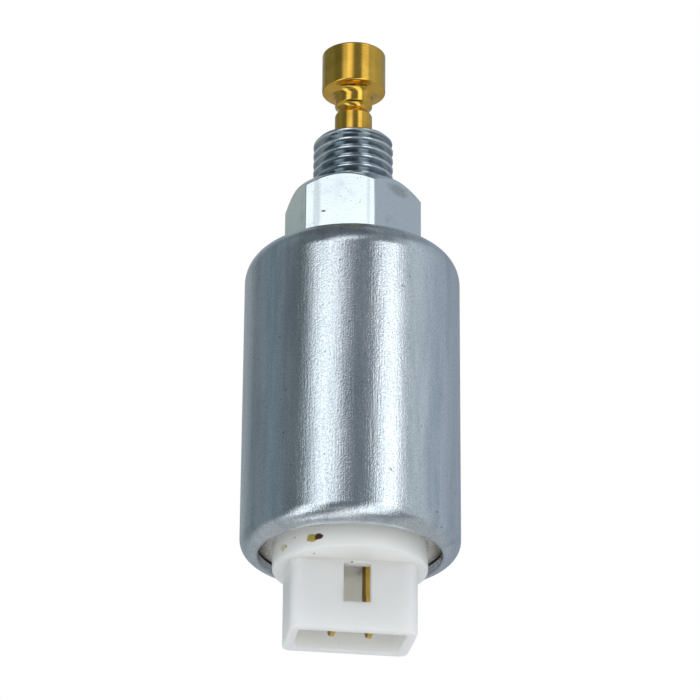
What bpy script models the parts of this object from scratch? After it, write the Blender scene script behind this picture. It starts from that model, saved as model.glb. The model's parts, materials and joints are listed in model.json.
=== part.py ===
"""Fuel shutoff solenoid with a drawn steel can, a threaded fitting, a brass valve and a two-blade socket.

Lengths are in metres. +Z runs along the axis from the mouth of the socket to the valve head, and the
origin is on the axis at the socket's rim. -Y is the side with the socket's latch window.
"""

import math

import bmesh
import bpy

# Clearances
SEAT_GAP = 0.0003  # between pieces that touch, clamp or press together
SLIDE_GAP = 0.0002  # all round the armature in its sleeve
SHANK_GAP = 0.0004  # all round the valve shank in the fitting's bore

# Can, a deep-drawn cup whose open edge is rolled in over the socket's flange
CAN_DIAMETER = 0.0265
CAN_HEIGHT = 0.0393
CAN_WALL = 0.0012
CAN_SHOULDER_RADIUS = 0.0037
CAN_ROLL_RADIUS = 0.0021
CAN_LIP_FLAT = 0.00015

# Threaded fitting, turned from hexagon bar and staked through the can's top
HEX_ACROSS_FLATS = 0.0150
HEX_HEIGHT = 0.0083
HEX_TURN = math.radians(18)
HEX_CHAMFER_DIAMETER = 0.0145
HEX_CHAMFER_SLOPE = math.radians(46)
THREAD_DIAMETER = 0.0100
THREAD_LENGTH = 0.0077
THREAD_END_CHAMFER = 0.0004
NECK_DIAMETER = 0.0094
STAKED_LIP_REACH = 0.0007
STAKED_LIP_HEIGHT = 0.0007

# Valve, a brass head and a grooved shank in one piece
HEAD_DIAMETER = 0.0080
HEAD_HEIGHT = 0.0054
HEAD_CHAMFER = 0.00025
HEAD_CLEAR_OF_THREAD = 0.00695
SHANK_DIAMETER = 0.0047
GROOVE_BELOW_HEAD = 0.0026
GROOVE_WIDTH = 0.0012
GROOVE_DEPTH = 0.00045
SPIGOT_DIAMETER = 0.0034
SPIGOT_LENGTH = 0.0048

# Armature, spring and stop core
STROKE = 0.0035
ARMATURE_DIAMETER = 0.0080
ARMATURE_LENGTH = 0.0145
ARMATURE_POCKET_DEPTH = 0.0060
CORE_POCKET_DEPTH = 0.0030
CORE_SPIGOT_DIAMETER = 0.0050
CORE_RIVET_DIAMETER = 0.0066
CORE_RIVET_HEIGHT = 0.0006
EDGE_BREAK = 0.0003
BUMPER_THICKNESS = 0.0010
SPRING_DIAMETER = 0.0052
SPRING_WIRE = 0.0006
SPRING_TURNS = 8

# Sleeve, bobbin, winding and the plates that carry the flux
SLEEVE_WALL = 0.0006
SLEEVE_SEAL_SECTION = 0.0010
BOBBIN_WALL = 0.0010
BOBBIN_FLANGE = 0.0020
TAPE_THICKNESS = 0.0004
TAPE_BELOW_FLANGE = 0.0006
FRONT_PLATE_THICKNESS = 0.0014
REAR_PLATE_THICKNESS = 0.0020
WASHER_THICKNESS = 0.0004
WASHER_WAVE = 0.0003
WASHER_WAVES = 3
WASHER_INNER_DIAMETER = 0.0150
WASHER_OUTER_DIAMETER = 0.0210
LEAD_HOLE_DIAMETER = 0.0018
LEAD_DIAMETER = 0.0010
LEAD_OFFSET = 0.0074
LEAD_BEND = 0.0018

# Connector cap, moulded in nylon: flange, round boss and rectangular socket in one piece
SOCKET_TURN = math.radians(8.4)
SOCKET_WIDTH = 0.0152
SOCKET_DEPTH = 0.0089
SOCKET_LENGTH = 0.0087
SOCKET_WALL = 0.0012
SOCKET_CORNER_RADIUS = 0.0012
SOCKET_RECESS_IN_BOSS = 0.0004
WINDOW_WIDTH = 0.0033
WINDOW_HEIGHT = 0.0049
WINDOW_BELOW_BOSS = 0.0006
BOSS_DROP = 0.00195
BOSS_GAP = 0.0017
BOSS_CORNER = 0.0003
CAP_FLANGE_THICKNESS = 0.0030
CAP_FLOOR_THICKNESS = 0.0029
CAP_WELL_WALL = 0.0008
CAP_SEAL_SECTION = 0.0015

# Blade terminals, edge on to the latch window
BLADE_PITCH = 0.00445
BLADE_THICKNESS = 0.0008
BLADE_WIDTH = 0.0028
BLADE_TIP_LENGTH = 0.0009
BLADE_TIP_THICKNESS = 0.0003
BLADE_TIP_WIDTH = 0.0015
BLADE_BACK_FROM_RIM = 0.0006
SHOULDER_OVERHANG = 0.0005
SHOULDER_HEIGHT = 0.0005
TAIL_LENGTH = 0.0010
TAIL_WIDTH = 0.0020

# Facets
ROUND_STEPS = 64
INNER_STEPS = 36
SMALL_STEPS = 28
ARC_STEPS = 6
SPRING_STEPS_PER_TURN = 14
SHARP_ANGLE = math.radians(32)
WELD_DISTANCE = 1e-6

# Radii that follow from the sizes above
CAN_RADIUS = CAN_DIAMETER / 2
CAN_INNER_RADIUS = CAN_RADIUS - CAN_WALL
OPENING_RADIUS = CAN_RADIUS - CAN_ROLL_RADIUS - CAN_LIP_FLAT
INSERT_RADIUS = CAN_INNER_RADIUS - SEAT_GAP
BOSS_RADIUS = OPENING_RADIUS - BOSS_GAP
FRONT_PLATE_RADIUS = CAN_RADIUS - CAN_SHOULDER_RADIUS
NECK_RADIUS = NECK_DIAMETER / 2
NECK_HOLE_RADIUS = NECK_RADIUS + SEAT_GAP
STAKED_LIP_RADIUS = NECK_RADIUS + STAKED_LIP_REACH
SHANK_RADIUS = SHANK_DIAMETER / 2
BORE_RADIUS = SHANK_RADIUS + SHANK_GAP
ARMATURE_RADIUS = ARMATURE_DIAMETER / 2
SLEEVE_INNER_RADIUS = ARMATURE_RADIUS + SLIDE_GAP
SLEEVE_RADIUS = SLEEVE_INNER_RADIUS + SLEEVE_WALL
BOBBIN_BORE_RADIUS = SLEEVE_RADIUS + SEAT_GAP
BARREL_RADIUS = BOBBIN_BORE_RADIUS + BOBBIN_WALL
SLEEVE_SEAL_RADIUS = SLEEVE_RADIUS + SEAT_GAP + SLEEVE_SEAL_SECTION / 2
SLEEVE_SEAL_SEAT_RADIUS = SLEEVE_RADIUS + SLEEVE_SEAL_SECTION + 2 * SEAT_GAP
SLEEVE_SEAL_SEAT_DEPTH = SLEEVE_SEAL_SECTION + SEAT_GAP
TAPE_RADIUS = INSERT_RADIUS - TAPE_BELOW_FLANGE
WINDING_RADIUS = TAPE_RADIUS - TAPE_THICKNESS - SEAT_GAP
SPRING_POCKET_RADIUS = SPRING_DIAMETER / 2 + SEAT_GAP
CORE_SPIGOT_RADIUS = CORE_SPIGOT_DIAMETER / 2
CAP_SEAL_RADIUS = INSERT_RADIUS - CAP_SEAL_SECTION / 2
CAP_SEAL_SEAT_RADIUS = INSERT_RADIUS - CAP_SEAL_SECTION - SEAT_GAP
CAP_FLANGE_CHAMFER = max(CAN_ROLL_RADIUS - CAN_WALL - SEAT_GAP, EDGE_BREAK)
CAP_WELL_RADIUS = min(BOSS_RADIUS, CAP_SEAL_SEAT_RADIUS) - CAP_WELL_WALL
BLADE_OFFSET = BLADE_PITCH / 2

# Heights, from the socket's rim upwards
BOSS_BOTTOM = SOCKET_LENGTH
CAN_BOTTOM = BOSS_BOTTOM + BOSS_DROP
CAP_FLANGE_BOTTOM = CAN_BOTTOM + CAN_WALL + SEAT_GAP
CAP_FLANGE_TOP = CAP_FLANGE_BOTTOM + CAP_FLANGE_THICKNESS
CAP_SEAL_SEAT = CAP_FLANGE_TOP - CAP_SEAL_SECTION - SEAT_GAP
SOCKET_CEILING = BOSS_BOTTOM + SOCKET_RECESS_IN_BOSS
CAP_FLOOR_TOP = SOCKET_CEILING + CAP_FLOOR_THICKNESS
REAR_PLATE_BOTTOM = CAP_FLANGE_TOP + SEAT_GAP
REAR_PLATE_TOP = REAR_PLATE_BOTTOM + REAR_PLATE_THICKNESS
COIL_BOTTOM = REAR_PLATE_TOP + SEAT_GAP
CAN_TOP = CAN_BOTTOM + CAN_HEIGHT
FRONT_PLATE_TOP = CAN_TOP - CAN_WALL - SEAT_GAP
FRONT_PLATE_BOTTOM = FRONT_PLATE_TOP - FRONT_PLATE_THICKNESS
STAKED_LIP_TOP = FRONT_PLATE_BOTTOM - SEAT_GAP
STAKED_LIP_BOTTOM = STAKED_LIP_TOP - STAKED_LIP_HEIGHT
WASHER_MIDDLE = FRONT_PLATE_BOTTOM - SEAT_GAP - (WASHER_THICKNESS + WASHER_WAVE) / 2
COIL_TOP = WASHER_MIDDLE - (WASHER_THICKNESS + WASHER_WAVE) / 2 - SEAT_GAP
SLEEVE_TOP = STAKED_LIP_BOTTOM - SEAT_GAP
BUMPER_BOTTOM = SLEEVE_TOP - BUMPER_THICKNESS
ARMATURE_TOP = BUMPER_BOTTOM - SEAT_GAP
ARMATURE_BOTTOM = ARMATURE_TOP - ARMATURE_LENGTH
CORE_TOP = ARMATURE_BOTTOM - STROKE - SEAT_GAP
SPRING_BOTTOM = CORE_TOP - CORE_POCKET_DEPTH + SEAT_GAP
SPRING_TOP = ARMATURE_BOTTOM + ARMATURE_POCKET_DEPTH - SEAT_GAP
HEX_BOTTOM = CAN_TOP + SEAT_GAP
HEX_TOP = HEX_BOTTOM + HEX_HEIGHT
THREAD_END = HEX_TOP + THREAD_LENGTH
SHANK_BOTTOM = ARMATURE_TOP + SEAT_GAP
HEAD_BOTTOM = THREAD_END + HEAD_CLEAR_OF_THREAD
HEAD_TOP = HEAD_BOTTOM + HEAD_HEIGHT
GROOVE_MIDDLE = HEAD_BOTTOM - GROOVE_BELOW_HEAD


def clear_scene():
    """Removes every object of the open scene."""
    for obj in list(bpy.data.objects):
        bpy.data.objects.remove(obj)


def finish(name, color, metallic, roughness):
    """A material with one Principled surface."""
    material = bpy.data.materials.new(name)
    material.use_nodes = True
    surface = material.node_tree.nodes["Principled BSDF"]
    surface.inputs["Base Color"].default_value = (*color, 1.0)
    surface.inputs["Metallic"].default_value = metallic
    surface.inputs["Roughness"].default_value = roughness
    material.diffuse_color = (*color, 1.0)
    return material


def empty(name, location=(0, 0, 0), turn=0.0):
    """An empty that carries the pieces of one axis."""
    carrier = bpy.data.objects.new(name, None)
    carrier.location = location
    carrier.rotation_euler = (0, 0, turn)
    bpy.context.scene.collection.objects.link(carrier)
    return carrier


def place(name, data, material, parent):
    """Links a piece to the scene under its carrier."""
    piece = bpy.data.objects.new(name, data)
    if material is not None:
        data.materials.append(material)
    bpy.context.scene.collection.objects.link(piece)
    piece.parent = parent
    return piece


def from_bmesh(name, bm, material, parent):
    """Turns a closed bmesh into a smooth-shaded piece whose faces point out."""
    bmesh.ops.recalc_face_normals(bm, faces=bm.faces)
    mesh = bpy.data.meshes.new(name)
    bm.to_mesh(mesh)
    bm.free()
    mesh.shade_smooth()
    mesh.set_sharp_from_angle(angle=SHARP_ANGLE)
    return place(name, mesh, material, parent)


def arc(centre, radius, start, end, steps=ARC_STEPS):
    """Points of a round stretch of an outline, angles in degrees from the +radius direction."""
    points = []
    for step in range(steps + 1):
        angle = math.radians(start + (end - start) * step / steps)
        points.append((centre[0] + radius * math.cos(angle), centre[1] + radius * math.sin(angle)))
    return points


def turned(name, outline, material, parent, steps=INNER_STEPS):
    """A piece of revolution from an outline of (radius, height) points.

    An outline whose two ends lie on the axis makes a solid bar; any other outline closes on itself
    and makes a ring.
    """
    bm = bmesh.new()
    verts = [bm.verts.new((radius, 0, height)) for radius, height in outline]
    edges = [bm.edges.new(pair) for pair in zip(verts, verts[1:])]
    is_bar = outline[0][0] == 0 and outline[-1][0] == 0
    if not is_bar:
        edges.append(bm.edges.new((verts[-1], verts[0])))
    bmesh.ops.spin(
        bm,
        geom=verts + edges,
        cent=(0, 0, 0),
        axis=(0, 0, 1),
        angle=2 * math.pi,
        steps=steps,
        use_merge=True,
    )
    bmesh.ops.remove_doubles(bm, verts=bm.verts, dist=WELD_DISTANCE)
    return from_bmesh(name, bm, material, parent)


def prism(name, corners, bottom, top, material, parent):
    """A flat outline of (x, y) corners raised from one height to another."""
    bm = bmesh.new()
    base = bm.faces.new([bm.verts.new((x, y, bottom)) for x, y in corners])
    raised = bmesh.ops.extrude_face_region(bm, geom=[base])
    moved = [item for item in raised["geom"] if isinstance(item, bmesh.types.BMVert)]
    bmesh.ops.translate(bm, verts=moved, vec=(0, 0, top - bottom))
    return from_bmesh(name, bm, material, parent)


def rounded_rectangle(width, depth, radius):
    """Corners of a rectangle centred on the axis, with round corners."""
    x = width / 2 - radius
    y = depth / 2 - radius
    corners = []
    for centre, start in (((x, y), 0), ((-x, y), 90), ((-x, -y), 180), ((x, -y), 270)):
        corners += arc(centre, radius, start, start + 90)
    return corners


def cut(piece, helper, operation="DIFFERENCE"):
    """Adds a Boolean that uses a hidden helper shape."""
    helper.hide_render = True
    helper.display_type = "WIRE"
    modifier = piece.modifiers.new(helper.name, "BOOLEAN")
    modifier.operation = operation
    modifier.solver = "EXACT"
    modifier.object = helper


def ring_of_section(name, radius, middle, section, material, parent):
    """An O-ring of round section."""
    return turned(name, arc((radius, middle), section / 2, 0, 315, 7), material, parent)


def flat_ring(name, inner, outer, bottom, top, material, parent, steps=INNER_STEPS):
    """A flat washer, plate or tube."""
    outline = [(inner, bottom), (outer, bottom), (outer, top), (inner, top)]
    return turned(name, outline, material, parent, steps)


def make_can(steel, axis):
    """The drawn can: round shoulder at the top, lip rolled in at the bottom, hole for the fitting."""
    shoulder = (CAN_RADIUS - CAN_SHOULDER_RADIUS, CAN_TOP - CAN_SHOULDER_RADIUS)
    roll = (CAN_RADIUS - CAN_ROLL_RADIUS, CAN_BOTTOM + CAN_ROLL_RADIUS)
    outline = [(NECK_HOLE_RADIUS, CAN_TOP)]
    outline += arc(shoulder, CAN_SHOULDER_RADIUS, 90, 0)
    outline += arc(roll, CAN_ROLL_RADIUS, 0, -90)
    outline += [(OPENING_RADIUS, CAN_BOTTOM), (OPENING_RADIUS, CAN_BOTTOM + CAN_WALL)]
    outline += arc(roll, CAN_ROLL_RADIUS - CAN_WALL, -90, 0, ARC_STEPS // 2)
    outline += arc(shoulder, CAN_SHOULDER_RADIUS - CAN_WALL, 0, 90, ARC_STEPS // 2)
    outline += [(NECK_HOLE_RADIUS, CAN_TOP - CAN_WALL)]
    turned("can", outline, steel, axis, ROUND_STEPS)


def make_threaded_fitting(steel, axis):
    """The hexagon, with its nose above and its staked neck below, bored for the valve shank."""
    corner_radius = HEX_ACROSS_FLATS / 2 / math.cos(math.pi / 6)
    corners = []
    for side in range(6):
        angle = HEX_TURN - math.pi / 2 + side * math.pi / 3
        corners.append((corner_radius * math.cos(angle), corner_radius * math.sin(angle)))
    fitting = prism("threaded_fitting", corners, HEX_BOTTOM, HEX_TOP, steel, axis)

    chamfer_radius = HEX_CHAMFER_DIAMETER / 2
    reach = corner_radius + THREAD_LENGTH
    drop = (reach - chamfer_radius) * math.tan(HEX_CHAMFER_SLOPE)
    cone = [
        (0, HEX_BOTTOM - THREAD_LENGTH),
        (reach, HEX_BOTTOM - THREAD_LENGTH),
        (reach, HEX_TOP - drop),
        (chamfer_radius, HEX_TOP),
        (0, HEX_TOP + SEAT_GAP),
    ]
    cut(fitting, turned("hex_chamfer_cone", cone, None, axis, ROUND_STEPS), "INTERSECT")

    thread_radius = THREAD_DIAMETER / 2
    stem = [
        (0, STAKED_LIP_BOTTOM),
        (STAKED_LIP_RADIUS - EDGE_BREAK, STAKED_LIP_BOTTOM),
        (STAKED_LIP_RADIUS, STAKED_LIP_BOTTOM + EDGE_BREAK),
        (STAKED_LIP_RADIUS, STAKED_LIP_TOP),
        (NECK_RADIUS, STAKED_LIP_TOP),
        (NECK_RADIUS, HEX_BOTTOM + HEX_HEIGHT / 2),
        (thread_radius, HEX_BOTTOM + HEX_HEIGHT / 2),
        (thread_radius, THREAD_END - THREAD_END_CHAMFER),
        (thread_radius - THREAD_END_CHAMFER, THREAD_END),
        (0, THREAD_END),
    ]
    cut(fitting, turned("fitting_stem", stem, None, axis), "UNION")

    bore = [
        (0, STAKED_LIP_BOTTOM - SEAT_GAP),
        (BORE_RADIUS, STAKED_LIP_BOTTOM - SEAT_GAP),
        (BORE_RADIUS, THREAD_END + SEAT_GAP),
        (0, THREAD_END + SEAT_GAP),
    ]
    cut(fitting, turned("fitting_bore", bore, None, axis, SMALL_STEPS))


def make_valve_head(brass, plunger):
    """The brass valve: spigot for the armature, shank with a round groove, and head."""
    groove_radius = (GROOVE_DEPTH**2 + (GROOVE_WIDTH / 2) ** 2) / (2 * GROOVE_DEPTH)
    half_angle = math.degrees(math.asin(min(1.0, GROOVE_WIDTH / 2 / groove_radius)))
    groove_centre = (SHANK_RADIUS - GROOVE_DEPTH + groove_radius, GROOVE_MIDDLE)
    head_radius = HEAD_DIAMETER / 2
    spigot_radius = SPIGOT_DIAMETER / 2
    outline = [
        (0, SHANK_BOTTOM - SPIGOT_LENGTH),
        (spigot_radius - EDGE_BREAK, SHANK_BOTTOM - SPIGOT_LENGTH),
        (spigot_radius, SHANK_BOTTOM - SPIGOT_LENGTH + EDGE_BREAK),
        (spigot_radius, SHANK_BOTTOM),
        (SHANK_RADIUS, SHANK_BOTTOM),
    ]
    outline += arc(groove_centre, groove_radius, 180 + half_angle, 180 - half_angle)
    outline += [
        (SHANK_RADIUS, HEAD_BOTTOM),
        (head_radius - HEAD_CHAMFER, HEAD_BOTTOM),
        (head_radius, HEAD_BOTTOM + HEAD_CHAMFER),
        (head_radius, HEAD_TOP - HEAD_CHAMFER),
        (head_radius - HEAD_CHAMFER, HEAD_TOP),
        (0, HEAD_TOP),
    ]
    turned("valve_head", outline, brass, plunger)


def make_armature(steel, plunger):
    """The sliding steel core, with a hole for the valve's spigot above and a spring pocket below."""
    hole_radius = SPIGOT_DIAMETER / 2 + SEAT_GAP
    hole_bottom = SHANK_BOTTOM - SPIGOT_LENGTH - SEAT_GAP
    pocket_top = ARMATURE_BOTTOM + ARMATURE_POCKET_DEPTH
    outline = [
        (0, pocket_top),
        (SPRING_POCKET_RADIUS, pocket_top),
        (SPRING_POCKET_RADIUS, ARMATURE_BOTTOM),
        (ARMATURE_RADIUS - EDGE_BREAK, ARMATURE_BOTTOM),
        (ARMATURE_RADIUS, ARMATURE_BOTTOM + EDGE_BREAK),
        (ARMATURE_RADIUS, ARMATURE_TOP - EDGE_BREAK),
        (ARMATURE_RADIUS - EDGE_BREAK, ARMATURE_TOP),
        (hole_radius, ARMATURE_TOP),
        (hole_radius, hole_bottom),
        (0, hole_bottom),
    ]
    turned("armature", outline, steel, plunger)


def make_stop_core(steel, axis):
    """The fixed core: spring pocket on top, spigot riveted through the rear plate."""
    pocket_bottom = CORE_TOP - CORE_POCKET_DEPTH
    rivet_top = REAR_PLATE_BOTTOM - SEAT_GAP
    rivet_bottom = rivet_top - CORE_RIVET_HEIGHT
    rivet_radius = CORE_RIVET_DIAMETER / 2
    outline = [
        (0, rivet_bottom),
        (rivet_radius - EDGE_BREAK, rivet_bottom),
        (rivet_radius, rivet_bottom + EDGE_BREAK),
        (rivet_radius, rivet_top),
        (CORE_SPIGOT_RADIUS, rivet_top),
        (CORE_SPIGOT_RADIUS, COIL_BOTTOM),
        (ARMATURE_RADIUS, COIL_BOTTOM),
        (ARMATURE_RADIUS, CORE_TOP - EDGE_BREAK),
        (ARMATURE_RADIUS - EDGE_BREAK, CORE_TOP),
        (SPRING_POCKET_RADIUS, CORE_TOP),
        (SPRING_POCKET_RADIUS, pocket_bottom),
        (0, pocket_bottom),
    ]
    turned("stop_core", outline, steel, axis)


def make_return_spring(steel, axis):
    """The compression spring between the core's pocket and the armature's pocket."""
    curve = bpy.data.curves.new("return_spring", "CURVE")
    curve.dimensions = "3D"
    curve.twist_mode = "Z_UP"
    curve.bevel_depth = SPRING_WIRE / 2
    curve.bevel_resolution = 1
    curve.use_fill_caps = True
    count = SPRING_TURNS * SPRING_STEPS_PER_TURN + 1
    radius = (SPRING_DIAMETER - SPRING_WIRE) / 2
    low = SPRING_BOTTOM + SPRING_WIRE / 2
    high = SPRING_TOP - SPRING_WIRE / 2
    spline = curve.splines.new("POLY")
    spline.points.add(count - 1)
    for index, point in enumerate(spline.points):
        share = index / (count - 1)
        angle = share * SPRING_TURNS * 2 * math.pi
        height = low + (high - low) * share
        point.co = (radius * math.cos(angle), radius * math.sin(angle), height, 1)
    place("return_spring", curve, steel, axis)


def lead_holes(piece, bottom, top, parent):
    """Bores the two holes for the winding's leads."""
    for side, direction in (("left", -1), ("right", 1)):
        outline = [
            (0, bottom),
            (LEAD_HOLE_DIAMETER / 2, bottom),
            (LEAD_HOLE_DIAMETER / 2, top),
            (0, top),
        ]
        hole = turned(f"{piece.name}_hole_{side}", outline, None, parent, SMALL_STEPS // 2)
        hole.location.x = direction * LEAD_OFFSET
        cut(piece, hole)


def make_bobbin(nylon, socket_axis):
    """The coil former, with a seat for a sleeve seal at each end."""
    outline = [
        (SLEEVE_SEAL_SEAT_RADIUS, COIL_BOTTOM),
        (INSERT_RADIUS, COIL_BOTTOM),
        (INSERT_RADIUS, COIL_BOTTOM + BOBBIN_FLANGE),
        (BARREL_RADIUS, COIL_BOTTOM + BOBBIN_FLANGE),
        (BARREL_RADIUS, COIL_TOP - BOBBIN_FLANGE),
        (INSERT_RADIUS, COIL_TOP - BOBBIN_FLANGE),
        (INSERT_RADIUS, COIL_TOP),
        (SLEEVE_SEAL_SEAT_RADIUS, COIL_TOP),
        (SLEEVE_SEAL_SEAT_RADIUS, COIL_TOP - SLEEVE_SEAL_SEAT_DEPTH),
        (BOBBIN_BORE_RADIUS, COIL_TOP - SLEEVE_SEAL_SEAT_DEPTH),
        (BOBBIN_BORE_RADIUS, COIL_BOTTOM + SLEEVE_SEAL_SEAT_DEPTH),
        (SLEEVE_SEAL_SEAT_RADIUS, COIL_BOTTOM + SLEEVE_SEAL_SEAT_DEPTH),
    ]
    bobbin = turned("bobbin", outline, nylon, socket_axis)
    lead_holes(bobbin, COIL_BOTTOM - SEAT_GAP, COIL_BOTTOM + BOBBIN_FLANGE + SEAT_GAP, socket_axis)


def make_winding(copper, tape, axis):
    """The wire winding on the bobbin and the tape wound round it."""
    bottom = COIL_BOTTOM + BOBBIN_FLANGE + SEAT_GAP
    top = COIL_TOP - BOBBIN_FLANGE - SEAT_GAP
    flat_ring("coil_winding", BARREL_RADIUS + SEAT_GAP, WINDING_RADIUS, bottom, top, copper, axis)
    tape_inner = TAPE_RADIUS - TAPE_THICKNESS
    flat_ring("winding_tape", tape_inner, TAPE_RADIUS, bottom, top, tape, axis)


def make_wave_washer(steel, axis):
    """The wavy spring washer that takes up the play above the bobbin."""
    bottom = WASHER_MIDDLE - WASHER_THICKNESS / 2
    top = WASHER_MIDDLE + WASHER_THICKNESS / 2
    inner = WASHER_INNER_DIAMETER / 2
    outer = WASHER_OUTER_DIAMETER / 2
    washer = flat_ring("wave_washer", inner, outer, bottom, top, steel, axis)
    for vertex in washer.data.vertices:
        angle = math.atan2(vertex.co.y, vertex.co.x)
        vertex.co.z += WASHER_WAVE / 2 * math.sin(WASHER_WAVES * angle)


def make_connector_cap(nylon, socket_axis):
    """The moulded cap: flange and boss turned as one, socket block added, hollows cut out."""
    outline = [
        (0, BOSS_BOTTOM),
        (BOSS_RADIUS - BOSS_CORNER, BOSS_BOTTOM),
        (BOSS_RADIUS, BOSS_BOTTOM + BOSS_CORNER),
        (BOSS_RADIUS, CAP_FLANGE_BOTTOM),
        (INSERT_RADIUS - CAP_FLANGE_CHAMFER, CAP_FLANGE_BOTTOM),
        (INSERT_RADIUS, CAP_FLANGE_BOTTOM + CAP_FLANGE_CHAMFER),
        (INSERT_RADIUS, CAP_SEAL_SEAT),
        (CAP_SEAL_SEAT_RADIUS, CAP_SEAL_SEAT),
        (CAP_SEAL_SEAT_RADIUS, CAP_FLANGE_TOP),
        (CAP_WELL_RADIUS, CAP_FLANGE_TOP),
        (CAP_WELL_RADIUS, CAP_FLOOR_TOP),
        (0, CAP_FLOOR_TOP),
    ]
    cap = turned("connector_cap", outline, nylon, socket_axis, ROUND_STEPS)

    block = rounded_rectangle(SOCKET_WIDTH, SOCKET_DEPTH, SOCKET_CORNER_RADIUS)
    block_top = BOSS_BOTTOM + BOSS_DROP / 2
    cut(cap, prism("socket_block", block, 0, block_top, None, socket_axis), "UNION")

    hollow = rounded_rectangle(
        SOCKET_WIDTH - 2 * SOCKET_WALL,
        SOCKET_DEPTH - 2 * SOCKET_WALL,
        SOCKET_CORNER_RADIUS / 2,
    )
    cut(cap, prism("socket_hollow", hollow, -SOCKET_WALL, SOCKET_CEILING, None, socket_axis))

    window_top = BOSS_BOTTOM - WINDOW_BELOW_BOSS
    front = -SOCKET_DEPTH / 2
    window = [
        (-WINDOW_WIDTH / 2, front - SOCKET_WALL / 2),
        (WINDOW_WIDTH / 2, front - SOCKET_WALL / 2),
        (WINDOW_WIDTH / 2, front + SOCKET_WALL * 1.5),
        (-WINDOW_WIDTH / 2, front + SOCKET_WALL * 1.5),
    ]
    opening = prism(
        "latch_window", window, window_top - WINDOW_HEIGHT, window_top, None, socket_axis
    )
    cut(cap, opening)

    for side, direction in (("left", -1), ("right", 1)):
        slot = rectangle(
            direction * BLADE_OFFSET, BLADE_THICKNESS + 2 * SEAT_GAP, BLADE_WIDTH + 2 * SEAT_GAP
        )
        bottom = SOCKET_CEILING - SEAT_GAP
        top = CAP_FLOOR_TOP + SEAT_GAP
        cut(cap, prism(f"blade_slot_{side}", slot, bottom, top, None, socket_axis))


def rectangle(middle, thickness, width):
    """Corners of a rectangle centred at x = middle."""
    x = thickness / 2
    y = width / 2
    return [(middle - x, -y), (middle + x, -y), (middle + x, y), (middle - x, y)]


def make_terminal(side, direction, brass, socket_axis):
    """One blade: tapered tip, blade, shoulder on the cap's floor, and tail for the lead."""
    middle = direction * BLADE_OFFSET
    tip = BLADE_BACK_FROM_RIM
    shoulder_bottom = CAP_FLOOR_TOP + SEAT_GAP
    shoulder_top = shoulder_bottom + SHOULDER_HEIGHT
    wide = 2 * SHOULDER_OVERHANG + 2 * SEAT_GAP
    sections = [
        (BLADE_TIP_THICKNESS, BLADE_TIP_WIDTH, tip),
        (BLADE_THICKNESS, BLADE_WIDTH, tip + BLADE_TIP_LENGTH),
        (BLADE_THICKNESS, BLADE_WIDTH, shoulder_bottom),
        (BLADE_THICKNESS + wide, BLADE_WIDTH + wide, shoulder_bottom),
        (BLADE_THICKNESS + wide, BLADE_WIDTH + wide, shoulder_top),
        (BLADE_THICKNESS, TAIL_WIDTH, shoulder_top),
        (BLADE_THICKNESS, TAIL_WIDTH, shoulder_top + TAIL_LENGTH),
    ]
    bm = bmesh.new()
    loops = []
    for thickness, width, height in sections:
        corners = rectangle(middle, thickness, width)
        loops.append([bm.verts.new((x, y, height)) for x, y in corners])
    for low, high in zip(loops, loops[1:]):
        for corner in range(4):
            after = (corner + 1) % 4
            bm.faces.new((low[corner], low[after], high[after], high[corner]))
    bm.faces.new(loops[0])
    bm.faces.new(loops[-1])
    from_bmesh(f"terminal_{side}", bm, brass, socket_axis)


def make_lead(side, direction, wire, socket_axis):
    """The lead from the terminal's tail, out and up through the plate and the bobbin's flange."""
    start = BLADE_OFFSET + BLADE_THICKNESS / 2 + SEAT_GAP
    tail_middle = CAP_FLOOR_TOP + SEAT_GAP + SHOULDER_HEIGHT + TAIL_LENGTH / 2
    low = max(tail_middle, CAP_FLOOR_TOP + SHOULDER_HEIGHT + 2 * SEAT_GAP + LEAD_DIAMETER / 2)
    high = COIL_BOTTOM + BOBBIN_FLANGE
    bend = (LEAD_OFFSET - LEAD_BEND, low + LEAD_BEND)
    route = [(start, low)]
    route += arc(bend, LEAD_BEND, -90, 0)
    route += [(LEAD_OFFSET, high)]
    curve = bpy.data.curves.new(f"lead_{side}", "CURVE")
    curve.dimensions = "3D"
    curve.bevel_depth = LEAD_DIAMETER / 2
    curve.bevel_resolution = 2
    curve.use_fill_caps = True
    spline = curve.splines.new("POLY")
    spline.points.add(len(route) - 1)
    for point, (across, height) in zip(spline.points, route):
        point.co = (direction * across, 0, height, 1)
    place(f"lead_{side}", curve, wire, socket_axis)


def make_plates(steel, axis, socket_axis):
    """The two soft iron plates that carry the flux between the can and the cores."""
    flat_ring(
        "front_flux_plate",
        NECK_HOLE_RADIUS,
        FRONT_PLATE_RADIUS,
        FRONT_PLATE_BOTTOM,
        FRONT_PLATE_TOP,
        steel,
        axis,
    )
    rear = flat_ring(
        "rear_flux_plate",
        CORE_SPIGOT_RADIUS + SEAT_GAP,
        INSERT_RADIUS,
        REAR_PLATE_BOTTOM,
        REAR_PLATE_TOP,
        steel,
        socket_axis,
    )
    lead_holes(rear, REAR_PLATE_BOTTOM - SEAT_GAP, REAR_PLATE_TOP + SEAT_GAP, socket_axis)


def make_seals(rubber, axis):
    """The O-rings that keep fuel in the sleeve and water out of the can."""
    front_middle = COIL_TOP - SLEEVE_SEAL_SECTION / 2
    rear_middle = COIL_BOTTOM + SLEEVE_SEAL_SECTION / 2
    ring_of_section(
        "sleeve_seal_front", SLEEVE_SEAL_RADIUS, front_middle, SLEEVE_SEAL_SECTION, rubber, axis
    )
    ring_of_section(
        "sleeve_seal_rear", SLEEVE_SEAL_RADIUS, rear_middle, SLEEVE_SEAL_SECTION, rubber, axis
    )
    cap_middle = CAP_FLANGE_TOP - CAP_SEAL_SECTION / 2
    ring_of_section("cap_seal", CAP_SEAL_RADIUS, cap_middle, CAP_SEAL_SECTION, rubber, axis)


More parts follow.
